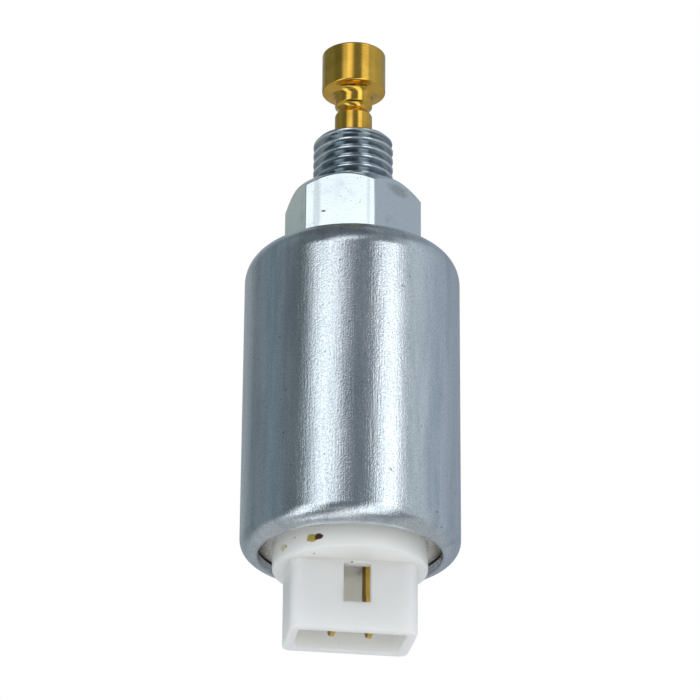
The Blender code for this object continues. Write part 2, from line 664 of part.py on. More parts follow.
def make_bumper(rubber, axis):
    """The damping washer under the fitting that the armature comes to rest on."""
    flat_ring("bumper", BORE_RADIUS, ARMATURE_RADIUS, BUMPER_BOTTOM, SLEEVE_TOP, rubber, axis)


def make_guide_sleeve(brass, axis):
    """The thin brass tube that the armature slides in."""
    flat_ring("guide_sleeve", SLEEVE_INNER_RADIUS, SLEEVE_RADIUS, COIL_BOTTOM, SLEEVE_TOP, brass, axis)


def build():
    """Builds every piece in its place."""
    clear_scene()
    zinc = finish("zinc_plated_steel", (0.56, 0.60, 0.63), 1.0, 0.28)
    fitting_zinc = finish("zinc_plated_fitting", (0.66, 0.70, 0.73), 1.0, 0.3)
    brass = finish("turned_brass", (0.78, 0.56, 0.18), 1.0, 0.25)
    blade_brass = finish("stamped_brass", (0.80, 0.60, 0.20), 1.0, 0.32)
    nylon = finish("white_nylon", (0.86, 0.86, 0.84), 0.0, 0.42)
    bobbin_nylon = finish("bobbin_nylon", (0.72, 0.70, 0.62), 0.0, 0.5)
    iron = finish("soft_iron", (0.50, 0.50, 0.51), 1.0, 0.4)
    spring_steel = finish("spring_steel", (0.60, 0.60, 0.60), 1.0, 0.25)
    copper = finish("enamelled_copper", (0.62, 0.28, 0.12), 0.8, 0.35)
    tape = finish("polyester_tape", (0.78, 0.66, 0.28), 0.0, 0.45)
    wire = finish("lead_insulation", (0.62, 0.10, 0.08), 0.0, 0.5)
    rubber = finish("seal_rubber", (0.03, 0.03, 0.03), 0.0, 0.7)

    axis = empty("solenoid_axis")
    socket_axis = empty("socket_axis", turn=SOCKET_TURN)
    plunger = empty("plunger_axis")
    make_can(zinc, axis)
    make_threaded_fitting(fitting_zinc, axis)
    make_valve_head(brass, plunger)
    make_armature(iron, plunger)
    make_stop_core(iron, axis)
    make_return_spring(spring_steel, axis)
    make_bumper(rubber, axis)
    make_guide_sleeve(brass, axis)
    make_seals(rubber, axis)
    make_bobbin(bobbin_nylon, socket_axis)
    make_winding(copper, tape, axis)
    make_wave_washer(spring_steel, axis)
    make_plates(iron, axis, socket_axis)
    make_connector_cap(nylon, socket_axis)
    for side, direction in (("left", -1), ("right", 1)):
        make_terminal(side, direction, blade_brass, socket_axis)
        make_lead(side, direction, wire, socket_axis)


build()
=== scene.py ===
"""Looks of a fuel shutoff solenoid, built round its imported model.

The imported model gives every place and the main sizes. Each sub-assembly below models its visible pieces over
that frame and gives every piece and every carried-over node a finish. Lengths are in metres. +Z runs from the
plug socket to the valve, and -Y is the side that faces the camera.
"""

from __future__ import annotations

import json
import logging
import math
from collections.abc import Callable, Iterator, Sequence
from contextlib import contextmanager
from dataclasses import dataclass, field
from enum import Enum

import bmesh
import bpy
from bpy.types import Material, Node, NodeSocket, Object, World
from mathutils import Matrix, Vector

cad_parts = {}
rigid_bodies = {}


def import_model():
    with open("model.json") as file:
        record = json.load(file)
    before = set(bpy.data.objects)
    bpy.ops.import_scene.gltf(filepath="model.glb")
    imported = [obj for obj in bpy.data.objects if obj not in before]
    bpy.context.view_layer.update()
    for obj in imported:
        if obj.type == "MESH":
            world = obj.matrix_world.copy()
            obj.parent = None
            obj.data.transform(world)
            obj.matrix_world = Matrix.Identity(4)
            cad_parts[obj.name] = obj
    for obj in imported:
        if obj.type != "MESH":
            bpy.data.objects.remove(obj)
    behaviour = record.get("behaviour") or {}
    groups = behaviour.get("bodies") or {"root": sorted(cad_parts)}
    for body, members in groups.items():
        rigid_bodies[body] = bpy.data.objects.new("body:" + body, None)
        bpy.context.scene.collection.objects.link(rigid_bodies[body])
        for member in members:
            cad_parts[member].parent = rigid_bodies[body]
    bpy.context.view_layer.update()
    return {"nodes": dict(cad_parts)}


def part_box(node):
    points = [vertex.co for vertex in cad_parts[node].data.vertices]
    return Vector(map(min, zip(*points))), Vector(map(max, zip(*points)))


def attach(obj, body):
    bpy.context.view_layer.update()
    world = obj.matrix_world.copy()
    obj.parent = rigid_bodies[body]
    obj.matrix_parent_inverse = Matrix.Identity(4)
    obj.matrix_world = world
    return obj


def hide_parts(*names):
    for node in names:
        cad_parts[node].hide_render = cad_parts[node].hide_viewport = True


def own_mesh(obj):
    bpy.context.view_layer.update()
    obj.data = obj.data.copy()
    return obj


LOG = logging.getLogger("solenoid")
MM = 0.001
SMOOTH_ANGLE = math.radians(32)
WELD_DISTANCE = 1e-6
FINE_STEPS = 160
SMALL_STEPS = 96
BLADE_PITCH = 4.45 * MM
BLADE_PLACE = -0.15 * MM
BLADE_THICKNESS = 0.8 * MM
BLADE_WIDTH = 2.8 * MM
GAP = 0.3 * MM  # between packed neighbours
SPOT_EDGE = 1.5  # distance from a spot's middle, with its ragged part, at which the spot ends
RAGGED_SIZE = 0.45  # patches of that ragged part, in millimetres
RAGGED_SHARE = 1.1
BAND_FADE = 0.06  # half widths of the fading edges in the light tent
PANEL_FADE = 0.04
BEARING_FADE = math.radians(6)
FRONT_FADE = (0.14, 0.0)  # depths between which a band fades towards the back of the tent
WHITE = "#FFFFFF"

Outline = list[tuple[float, float]]
Colour = tuple[float, float, float, float]
Triple = tuple[float, float, float]


class Body(Enum):
    """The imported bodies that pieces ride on."""

    HOUSING = "housing"
    PLUNGER = "plunger"


class Join(Enum):
    """Ways to combine a piece with a tool shape."""

    ADD = "UNION"
    CUT = "DIFFERENCE"
    KEEP = "INTERSECT"


class Part(Enum):
    """Parts of a mesh that can be picked in edit mode."""

    VERTS = "verts"
    EDGES = "edges"
    FACES = "faces"


SELECT_MODES = {Part.VERTS: "VERT", Part.EDGES: "EDGE", Part.FACES: "FACE"}


def linear(code: str) -> Colour:
    """Turns an sRGB hex colour to linear light.

    Args:
        code: Six hex digits after a hash sign.

    Returns:
        Red, green, blue and an alpha of one.
    """
    channels = []
    for start in (1, 3, 5):
        value = int(code[start : start + 2], 16) / 255
        channels.append(value / 12.92 if value <= 0.04045 else ((value + 0.055) / 1.055) ** 2.4)
    return (channels[0], channels[1], channels[2], 1.0)


def per_size(x: float, y: float, z: float) -> Triple:
    """Gives the scale at which a pattern has one feature per size.

    Args:
        x: Size of a feature along X in millimetres.
        y: Size of a feature along Y in millimetres.
        z: Size of a feature along Z in millimetres.

    Returns:
        The scale for a Mapping node.
    """
    return (1 / (x * MM), 1 / (y * MM), 1 / (z * MM))


def arc(centre: tuple[float, float], radius: float, start: float, end: float, steps: int) -> Outline:
    """Lays points along a round stretch of an outline.

    Args:
        centre: Radius and height of the arc's centre.
        radius: Radius of the arc.
        start: First angle in degrees, from the outward direction.
        end: Last angle in degrees.
        steps: Number of stretches between points.

    Returns:
        The points as (radius, height).
    """
    points = []
    for step in range(steps + 1):
        angle = math.radians(start + (end - start) * step / steps)
        points.append((centre[0] + radius * math.cos(angle), centre[1] + radius * math.sin(angle)))
    return points


def activate(piece: Object) -> None:
    """Selects one piece alone and makes it active.

    Args:
        piece: The piece to work on.
    """
    for other in bpy.context.view_layer.objects:
        other.select_set(False)
    piece.select_set(True)
    bpy.context.view_layer.objects.active = piece


@contextmanager
def editing(piece: Object, kind: Part = Part.VERTS) -> Iterator[None]:
    """Opens a piece in edit mode with nothing selected, and leaves edit mode at the end.

    Args:
        piece: The piece to work on.
        kind: What is picked in this stretch of work.
    """
    activate(piece)
    bpy.ops.object.mode_set(mode="EDIT")
    bpy.ops.mesh.select_mode(type=SELECT_MODES[kind])
    bpy.ops.mesh.select_all(action="DESELECT")
    yield
    bpy.ops.object.mode_set(mode="OBJECT")


def pick(piece: Object, kind: Part, test: Callable[..., bool]) -> None:
    """Selects the parts of a mesh in edit mode that pass a test.

    Args:
        piece: The piece that is open in edit mode.
        kind: What the test looks at.
        test: Takes one vertex, edge or face.
    """
    mesh = bmesh.from_edit_mesh(piece.data)
    for item in getattr(mesh, kind.value):
        item.select_set(test(item))
    mesh.select_flush_mode()
    bmesh.update_edit_mesh(piece.data)


def settle(piece: Object) -> None:
    """Puts a piece's place, turn and scale into its mesh.

    Args:
        piece: The piece to settle.
    """
    activate(piece)
    bpy.ops.object.transform_apply(location=True, rotation=True, scale=True)


def started(name: str) -> Object:
    """Names and settles the primitive that was just added.

    Args:
        name: Its name.

    Returns:
        The piece.
    """
    piece = bpy.context.active_object
    piece.name = name
    settle(piece)
    return piece


def change(piece: Object, kind: str, **settings: object) -> None:
    """Changes a piece by one modifier.

    Args:
        piece: The piece that changes.
        kind: Blender's name for the kind of modifier.
        **settings: The modifier's settings.
    """
    activate(piece)
    modifier = piece.modifiers.new(kind.lower(), kind)
    for setting, value in settings.items():
        setattr(modifier, setting, value)
    bpy.ops.object.modifier_apply(modifier=modifier.name)


def drawn(name: str, outline: Outline) -> Object:
    """Draws an outline beside the axis, point by point.

    Args:
        name: Name of the piece.
        outline: Points as (radius, height).

    Returns:
        The line of points.
    """
    bpy.ops.mesh.primitive_plane_add(size=MM, location=(outline[0][0], 0, outline[0][1]))
    line = started(name)
    with editing(line):
        bpy.ops.mesh.select_all(action="SELECT")
        bpy.ops.mesh.merge(type="CENTER")
        for (radius, height), (after_radius, after_height) in zip(outline, outline[1:]):
            step = (after_radius - radius, 0, after_height - height)
            bpy.ops.mesh.extrude_vertices_move(TRANSFORM_OT_translate={"value": step})
    return line


def turned(name: str, outline: Outline, steps: int = FINE_STEPS) -> Object:
    """Turns an outline about the axis, as on a lathe.

    Args:
        name: Name of the piece.
        outline: Points as (radius, height). An outline whose ends lie on the axis makes a solid bar, and
            any other outline is closed and makes a ring.
        steps: Number of facets round the axis.

    Returns:
        The closed piece.
    """
    piece = drawn(name, outline)
    ends = [Vector((radius, 0, height)) for radius, height in (outline[0], outline[-1])]
    with editing(piece):
        if ends[0].x > 0 or ends[1].x > 0:
            pick(piece, Part.VERTS, lambda v: min((v.co - end).length for end in ends) < WELD_DISTANCE)
            bpy.ops.mesh.edge_face_add()
        bpy.ops.mesh.select_all(action="SELECT")
        bpy.ops.mesh.spin(steps=steps, angle=2 * math.pi, center=(0, 0, 0), axis=(0, 0, 1))
        bpy.ops.mesh.select_all(action="SELECT")
        bpy.ops.mesh.remove_doubles(threshold=WELD_DISTANCE)
        bpy.ops.mesh.normals_make_consistent(inside=False)
    return piece


def coil(piece: Object, pitch: float, turns: int, steps: int, fan: bool = False) -> None:
    """Sweeps a section round and up the axis, and closes both ends.

    Args:
        piece: The section.
        pitch: Rise of one turn.
        turns: Number of turns.
        steps: Number of facets in one turn.
        fan: Whether the ends are closed by fans, which ends that aren't flat need.
    """
    sweep = {"screw_offset": pitch, "iterations": turns, "steps": steps, "render_steps": steps}
    change(piece, "SCREW", axis="Z", angle=2 * math.pi, **sweep)
    heights = [vertex.co.z for vertex in piece.data.vertices]
    middle = (min(heights) + max(heights)) / 2
    with editing(piece, Part.EDGES):
        bpy.ops.mesh.select_all(action="SELECT")
        bpy.ops.mesh.remove_doubles(threshold=WELD_DISTANCE)
        for upper in (False, True):
            pick(piece, Part.EDGES, lambda e, up=upper: e.is_boundary and (e.verts[0].co.z > middle) == up)
            bpy.ops.mesh.edge_face_add()
            if fan:
                bpy.ops.mesh.poke()
        bpy.ops.mesh.select_all(action="SELECT")
        bpy.ops.mesh.normals_make_consistent(inside=False)


def round_edges(piece: Object, radius: float, segments: int, test: Callable[..., bool]) -> None:
    """Rounds the edges of a piece that pass a test.

    Args:
        piece: The piece.
        radius: Width of the rounding.
        segments: Facets across the rounding.
        test: Takes one edge.
    """
    with editing(piece, Part.EDGES):
        pick(piece, Part.EDGES, test)
        bpy.ops.mesh.bevel(offset=radius, segments=segments, affect="EDGES")


def block(
    name: str,
    size: tuple[float, float],
    bottom: float,
    top: float,
    corner: float = 0.0,
    place: tuple[float, float] = (0.0, 0.0),
) -> Object:
    """Makes an upright block with round corners.

    Args:
        name: Name of the piece.
        size: Sizes along X and Y.
        bottom: Lower height.
        top: Upper height.
        corner: Radius of the four upright edges, or zero.
        place: Its middle along X and Y.

    Returns:
        The block.
    """
    middle, scale = (*place, (bottom + top) / 2), (*size, top - bottom)
    bpy.ops.mesh.primitive_cube_add(size=1, location=middle, scale=scale)
    piece = started(name)
    if corner > 0:
        round_edges(piece, corner, 8, lambda e: abs(e.verts[0].co.z - e.verts[1].co.z) > WELD_DISTANCE)
    return piece


def combine(piece: Object, tool: Object, way: Join) -> None:
    """Combines a piece with a tool shape, which is used up.

    Args:
        piece: The piece that changes.
        tool: The shape to add, cut away or keep within.
        way: How the two are combined.
    """
    change(piece, "BOOLEAN", operation=way.value, solver="EXACT", object=tool)
    bpy.data.objects.remove(tool)


def break_edges(piece: Object, width: float) -> None:
    """Rounds every sharp edge of a piece.

    Args:
        piece: The piece to finish.
        width: Width of the rounding.
    """
    change(piece, "BEVEL", width=width, segments=2, limit_method="ANGLE", angle_limit=SMOOTH_ANGLE)


def hand_over(
    piece: Object, finish: Material, body: Body, nodes: Sequence[str], turn: float = 0.0
) -> Object:
    """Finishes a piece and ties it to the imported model.

    Its large faces set the shading, so that flats stay flat beside their rounded edges.

    Args:
        piece: The modelled piece.
        finish: Its material.
        body: The body that it rides on.
        nodes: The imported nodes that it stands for.
        turn: Turn about the axis in radians, put into the mesh.

    Returns:
        The piece.
    """
    piece.rotation_euler.z = turn
    settle(piece)
    bpy.ops.object.shade_smooth_by_angle(angle=SMOOTH_ANGLE)
    change(piece, "WEIGHTED_NORMAL", keep_sharp=True)
    piece.data.materials.clear()
    piece.data.materials.append(finish)
    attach(piece, body.value)
    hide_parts(*nodes)
    LOG.info("%s: %d faces, rides on %s", piece.name, len(piece.data.polygons), body.value)
    return piece


@dataclass(frozen=True)
class Stain:
    """A spot on a surface, used for real stains and for patches of painted shade.

    Attributes:
        place: Its centre in millimetres in the part's frame.
        size: Its half sizes in millimetres along X, Y and Z.
        colour: Its colour.
        strength: How much it covers the surface.
        soft: Half the width of its fading edge, as a share of its size.
    """

    place: Triple
    size: Triple
    colour: str
    strength: float = 0.9
    soft: float = 0.15


class Paint:
    """The node tree of a material or of the light tent, while it is made."""

    def __init__(
        self, owner: Material | World, surface: str = "Principled BSDF", place: str = "Object"
    ) -> None:
        """Opens the tree.

        Args:
            owner: What is painted.
            surface: Name of the node that the patterns end in.
            place: Name of the coordinates that the patterns follow.
        """
        owner.use_nodes = True
        self.owner = owner
        self.tree = owner.node_tree
        self.surface = self.tree.nodes[surface]
        self.place = self.add("TexCoord", output=place)

    def fill(self, node: Node, inputs: dict[str | int, object]) -> None:
        """Sets the sockets of a node, or links them to their sources.

        Args:
            node: The node.
            inputs: Numbers, colours and sources by socket.
        """
        for socket, value in inputs.items():
            if isinstance(value, NodeSocket):
                self.tree.links.new(value, node.inputs[socket])
            else:
                node.inputs[socket].default_value = value

    def add(
        self,
        kind: str,
        inputs: dict[str | int, object] | None = None,
        output: str | int = 0,
        stops: Sequence[tuple[float, Colour]] = (),
        **settings: object,
    ) -> NodeSocket:
        """Adds a node with its settings and links.

        Args:
            kind: Blender's name for the kind of node, without its first word.
            inputs: Numbers, colours and sources by socket.
            output: The output that is wanted.
            stops: Positions and colours of a colour ramp.
            **settings: Options of the node itself.

        Returns:
            That output of the new node.
        """
        node = self.tree.nodes.new(f"ShaderNode{kind}")
        for option, value in settings.items():
            setattr(node, option, value)
        self.fill(node, inputs or {})
        if stops:
            marks = node.color_ramp.elements
            while len(marks) < len(stops):
                marks.new(1.0)
            for mark, (position, colour) in zip(marks, stops):
                mark.position, mark.color = position, colour
        return node.outputs[output]

    def radius(self) -> NodeSocket:
        """Gives the distance from the part's axis."""
        flat = self.add("VectorMath", {0: self.place, 1: (1.0, 1.0, 0.0)}, operation="MULTIPLY")
        return self.add("VectorMath", {0: flat}, "Value", operation="LENGTH")

    def mottle(self, size: Triple, detail: float = 3.0, roughness: float = 0.5) -> NodeSocket:
        """Gives an uneven pattern whose patches have a real size.

        Args:
            size: Size of a patch in millimetres along X, Y and Z.
            detail: Number of finer layers in it.
            roughness: How strong the finer layers are.

        Returns:
            The pattern, from zero to one.
        """
        fitted = self.add("Mapping", {"Vector": self.place, "Scale": per_size(*size)})
        layers = {"Scale": 1.0, "Detail": detail, "Roughness": roughness}
        return self.add("TexNoise", {"Vector": fitted, **layers})

    def coat(
        self,
        under: NodeSocket | Colour,
        colour: Colour,
        pattern: NodeSocket,
        start: float = 0.0,
        full: float = 1.0,
        most: float = 1.0,
    ) -> NodeSocket:
        """Lays a colour where a pattern is strong.

        Args:
            under: The colour below.
            colour: The colour on top.
            pattern: The pattern.
            start: Level of the pattern at which the colour starts.
            full: Level at which it is full.
            most: How much it then covers.

        Returns:
            The colour with its coat.
        """
        levels = {"From Min": start, "From Max": full, "To Max": most}
        share = self.add("MapRange", {"Value": pattern, **levels})
        return self.add("MixRGB", {"Fac": share, "Color1": under, "Color2": colour})

    def spot(self, stain: Stain, under: NodeSocket) -> NodeSocket:
        """Lays one spot with a ragged edge over a colour.

        Args:
            stain: The spot.
            under: The colour below it.

        Returns:
            The colour with the spot.
        """
        middle = tuple(axis * MM for axis in stain.place)
        centred = self.add("VectorMath", {0: self.place, 1: middle}, operation="SUBTRACT")
        fitted = self.add("VectorMath", {0: centred, 1: per_size(*stain.size)}, operation="MULTIPLY")
        away = self.add("VectorMath", {0: fitted}, "Value", operation="LENGTH")
        ragged = self.mottle((RAGGED_SIZE, RAGGED_SIZE, RAGGED_SIZE), detail=2.0)
        edge = self.add("Math", {0: ragged, 1: RAGGED_SHARE, 2: away}, operation="MULTIPLY_ADD")
        levels = {"start": SPOT_EDGE + stain.soft, "full": SPOT_EDGE - stain.soft}
        return self.coat(under, linear(stain.colour), edge, **levels, most=stain.strength)

    def skin(
        self,
        relief: NodeSocket,
        wear: NodeSocket,
        depth: float,
        strength: float,
        gloss: tuple[float, float],
        levels: tuple[float, float] = (0.0, 1.0),
    ) -> None:
        """Gives the surface its fine relief and its uneven gloss.

        Args:
            relief: The pattern that stands out.
            wear: The pattern that the gloss follows.
            depth: Depth of the relief in millimetres.
            strength: Strength of the relief.
            gloss: Roughness at the wear's lowest and highest level.
            levels: Those two levels.
        """
        bump = self.add("Bump", {"Height": relief, "Distance": depth * MM, "Strength": strength})
        (low, high), (least, most) = levels, gloss
        limits = {"From Min": low, "From Max": high, "To Min": least, "To Max": most}
        self.finish(Normal=bump, Roughness=self.add("MapRange", {"Value": wear, **limits}))

    def finish(self, **sockets: object) -> Material | World:
        """Sets or links sockets of the surface.

        Args:
            **sockets: Values or sources by socket name, with underscores for spaces.

        Returns:
            What is painted.
        """
        self.fill(self.surface, {name.replace("_", " "): value for name, value in sockets.items()})
        return self.owner


@dataclass(frozen=True)
class DrawnZinc:
    """Zinc-plated drawn steel. It gives a satin mirror with fine draw lines along the can, a mottled grain and
    painted shade at the lip's inner edge.

    Attributes:
        name: Name of the material.
        bright: Colour of the clean plating.
        dull: Colour where the plating is thin or handled.
        grime: Colour of dirt specks, also laid as painted shade at the lip's inner edge.
        line_size: Size of a draw line in millimetres, across and along the can.
        grain_size: Size of the plating's grain in millimetres, drawn coarse enough to show.
        roughness: Typical roughness of the plating.
        lip_radius: Radius of the lip's inner edge in millimetres, where the shade of the gap to the cap is
            painted.
    """

    name: str = "drawn_zinc_plate"
    bright: str = "#E5EAED"
    dull: str = "#C0C9CF"
    grime: str = "#5A5E60"
    line_size: tuple[float, float] = (0.17, 6.0)
    grain_size: float = 0.17
    roughness: float = 0.12
    lip_radius: float = 11.0

    def material(self) -> Material:
        """Makes the material.

        Returns:
            The material.
        """
        paint = Paint(bpy.data.materials.new(self.name))
        across, along = self.line_size
        lines = paint.mottle((across, across, along))
        grain_size = (self.grain_size, self.grain_size, self.grain_size * 1.2)
        grain = paint.mottle(grain_size, detail=2.0, roughness=0.6)
        flecks = paint.add("MapRange", {"Value": grain, "From Min": 0.42, "From Max": 0.68, "To Max": 0.7})
        cloud = paint.mottle((2.2, 2.2, 16.0), detail=4.0, roughness=0.6)
        handled = paint.add("MapRange", {"Value": cloud, "From Min": 0.42, "From Max": 0.7, "To Max": 0.7})
        worn = paint.add("Math", {0: handled, 1: flecks}, use_clamp=True)
        plating = paint.coat(linear(self.bright), linear(self.dull), worn)
        specks = paint.mottle((0.55, 0.55, 0.55), detail=2.0, roughness=0.4)
        dirty = paint.add("MapRange", {"Value": specks, "From Min": 0.72, "From Max": 0.78, "To Max": 0.7})
        # Painted shade: darkens the can towards the lip's inner edge, broken up by the grain, where the gap to
        # the cap lies in shade.
        corner = {"From Min": (self.lip_radius + 0.6) * MM, "From Max": (self.lip_radius + 0.1) * MM}
        lip_shade_reach = paint.add("MapRange", {"Value": paint.radius(), **corner, "To Max": 0.5})
        patchy = {0: grain, 1: -0.35, 2: lip_shade_reach}
        lip_gap_shade = paint.add("Math", patchy, operation="MULTIPLY_ADD", use_clamp=True)
        dirt_and_lip_shade = paint.add("Math", {0: dirty, 1: lip_gap_shade}, use_clamp=True)
        colour = paint.coat(plating, linear(self.grime), dirt_and_lip_shade)
        relief = paint.add("MixRGB", {"Fac": 0.62, "Color1": lines, "Color2": grain})
        gloss = (self.roughness - 0.05, self.roughness + 0.08)
        paint.skin(relief, relief, depth=0.034, strength=1.0, gloss=gloss, levels=(0.3, 0.7))
        return paint.finish(Metallic=1.0, Base_Color=colour)


@dataclass(frozen=True)
class TurnedZinc:
    """Turned and milled steel with bright zinc. It mirrors sharply, with pits, smudges, faint tool marks and
    painted shade in the thread's furrows.

    Attributes:
        name: Name of the material.
        bright: Colour of the clean plating.
        smudge: Colour of handled places.
        furrow_shade: Painted shade between the crests of the thread, a darker colour below the crests.
        crest_radius: Radius of the thread's crests in millimetres.
        thread_start: Height where the thread starts in millimetres.
        grime: Colour of dirt in the pits.
        tool_mark: Spacing of the tool marks along the axis in millimetres.
        pit_size: Size of a pit in millimetres.
        roughness: Typical roughness of the plating.
        stains: Smudges and scratches on the hexagon, as in the photo.
    """

    name: str = "turned_zinc_plate"
    bright: str = "#DDE4E6"
    smudge: str = "#BCC4CA"
    furrow_shade: str = "#97A3AA"
    crest_radius: float = 5.0
    thread_start: float = 58.6
    grime: str = "#3C4043"
    tool_mark: float = 0.18
    pit_size: float = 0.24
    roughness: float = 0.12
    stains: tuple[Stain, ...] = (
        Stain((5.6, -5.05, 57.05), (2.0, 1.7, 0.75), "#A3A19A", 0.55, 0.3),
        Stain((-3.55, -6.9, 53.28), (0.26, 0.3, 0.13), "#3C4043", 0.9),
        Stain((-4.42, -6.7, 54.0), (0.45, 0.8, 5.5), "#A3A8AA", 0.5, 0.3),
        Stain((1.9, -8.2, 53.5), (0.22, 0.8, 5.5), "#B0B5B7", 0.4, 0.3),
    )

    def material(self) -> Material:
        """Makes the material.

        Returns:
            The material.
        """
        paint = Paint(bpy.data.materials.new(self.name))
        marks = paint.mottle((60.0, 60.0, self.tool_mark), detail=2.0)
        pits = paint.mottle((self.pit_size, self.pit_size, self.pit_size), detail=3.0, roughness=0.6)
        cloud = paint.mottle((3.2, 3.2, 3.2), detail=4.0)
        handled = {"start": 0.58, "full": 0.72, "most": 0.5}
        plating = paint.coat(linear(self.bright), linear(self.smudge), cloud, **handled)
        # Painted shade: the thread is darkened below its crests, where shade falls between them.
        with_furrow_shade = paint.coat(plating, linear(self.furrow_shade), self.furrow_shade_mask(paint))
        colour = paint.coat(with_furrow_shade, linear(self.grime), pits, start=0.345, full=0.28, most=0.8)
        for stain in self.stains:
            colour = paint.spot(stain, colour)
        relief = paint.add("MixRGB", {"Fac": 0.7, "Color1": marks, "Color2": pits})
        gloss = (self.roughness - 0.04, self.roughness + 0.08)
        paint.skin(relief, cloud, depth=0.02, strength=0.4, gloss=gloss)
        return paint.finish(Metallic=1.0, Base_Color=colour)

    def furrow_shade_mask(self, paint: Paint) -> NodeSocket:
        """Marks the thread below its crests, where the shade between them is painted.

        Args:
            paint: The material.

        Returns:
            One in the furrows and zero elsewhere.
        """
        flank = {"From Min": (self.crest_radius - 0.04) * MM, "From Max": (self.crest_radius - 0.2) * MM}
        sunk = paint.add("MapRange", {"Value": paint.radius(), **flank})
        height = paint.add("SeparateXYZ", {"Vector": paint.place}, "Z")
        above = paint.add("Math", {0: height, 1: self.thread_start * MM}, operation="GREATER_THAN")
        return paint.add("Math", {0: sunk, 1: above}, operation="MULTIPLY")


@dataclass(frozen=True)
class BareMetal:
    """Bare metal with one direction of work. It gives a clear colour, thin tool marks and slight tarnish.

    Attributes:
        name: Name of the material.
        clean: Colour of the fresh metal.
        tarnish: Colour of the tarnished patches.
        mark_size: Size of a tool mark in millimetres along X, Y and Z.
        mark_depth: Depth of the tool marks in millimetres.
        roughness: Typical roughness of the surface.
    """

    name: str
    clean: str
    tarnish: str
    mark_size: Triple
    mark_depth: float
    roughness: float

    def material(self) -> Material:
        """Makes the material.

        Returns:
            The material.
        """
        paint = Paint(bpy.data.materials.new(self.name))
        marks = paint.mottle(self.mark_size)
        cloud = paint.mottle((2.4, 2.4, 2.4))
        aged = {"start": 0.45, "full": 0.72, "most": 0.7}
        colour = paint.coat(linear(self.clean), linear(self.tarnish), cloud, **aged)
        gloss = (self.roughness * 0.8, self.roughness * 1.35)
        paint.skin(marks, marks, depth=self.mark_depth, strength=0.5, gloss=gloss)
        return paint.finish(Metallic=1.0, Base_Color=colour)


@dataclass(frozen=True)
class NaturalNylon:
    """Unfilled moulded nylon. It lets light in a little and has a soft, waxy gloss.

    Attributes:
        name: Name of the material.
        colour: Colour of the moulding.
        thick: Colour where the moulding is thick.
        roughness: Roughness of the moulded skin.
        depth: How far light goes in, in millimetres.
        share: Share of the light that goes in.
        stains: Spots on the surface, real stains and patches of painted shade.
    """

    name: str
    colour: str
    thick: str
    roughness: float
    depth: float
    share: float
    stains: tuple[Stain, ...] = ()

    def material(self) -> Material:
        """Makes the material.

        Returns:
            The material.
        """
        paint = Paint(bpy.data.materials.new(self.name))
        cloud = paint.mottle((3.5, 3.5, 3.5))
        colour = paint.coat(linear(self.colour), linear(self.thick), cloud)
        for stain in self.stains:
            colour = paint.spot(stain, colour)
        waxy = paint.mottle((0.5, 0.5, 0.5))
        gloss = (self.roughness - 0.06, self.roughness + 0.1)
        paint.skin(waxy, waxy, depth=0.02, strength=0.25, gloss=gloss)
        paint.finish(IOR=1.53, Subsurface_Weight=self.share, Subsurface_Scale=self.depth * MM)
        return paint.finish(Subsurface_Radius=(1.0, 0.95, 0.85), Base_Color=colour)


@dataclass(frozen=True)
class WoundWire:
    """Enamelled copper wire in even turns. It gives fine glossy ridges round the axis.

    Attributes:
        name: Name of the material.
        colour: Colour of the enamel on copper.
        shade: Colour between the turns.
        wire: Diameter of the wire in millimetres, drawn as coarse as it needs to show.
        roughness: Roughness of the enamel.
    """

    name: str = "enamelled_copper_wire"
    colour: str = "#B5602F"
    shade: str = "#4A2110"
    wire: float = 0.3
    roughness: float = 0.3

    def material(self) -> Material:
        """Makes the material.

        Returns:
            The material.
        """
        paint = Paint(bpy.data.materials.new(self.name))
        ridges = {"Scale": 1 / (self.wire * MM) / 20, "Distortion": 0.3, "Detail": 1.0, "Detail Scale": 0.5}
        turns = paint.add("TexWave", {"Vector": paint.place, **ridges}, "Fac", bands_direction="Z")
        colour = paint.coat(linear(self.shade), linear(self.colour), turns)
        bump = paint.add("Bump", {"Height": turns, "Distance": self.wire * MM / 3, "Strength": 0.8})
        return paint.finish(Metallic=0.8, Roughness=self.roughness, Base_Color=colour, Normal=bump)


@dataclass(frozen=True)
class SoftSkin:
    """Rubber, wire insulation or tape. It gives an even colour with a fine skin and little gloss.

    Attributes:
        name: Name of the material.
        colour: Main colour.
        worn: Colour of lighter patches.
        skin_size: Size of the skin's grain in millimetres along X, Y and Z.
        roughness: Typical roughness.
        index: Index of refraction.
    """

    name: str
    colour: str
    worn: str
    skin_size: Triple
    roughness: float
    index: float

    def material(self) -> Material:
        """Makes the material.

        Returns:
            The material.
        """
        paint = Paint(bpy.data.materials.new(self.name))
        grain = paint.mottle(self.skin_size)
        colour = paint.coat(linear(self.colour), linear(self.worn), grain)
        gloss = (self.roughness - 0.08, self.roughness + 0.08)
        paint.skin(grain, grain, depth=0.02, strength=0.3, gloss=gloss)
        return paint.finish(IOR=self.index, Base_Color=colour)


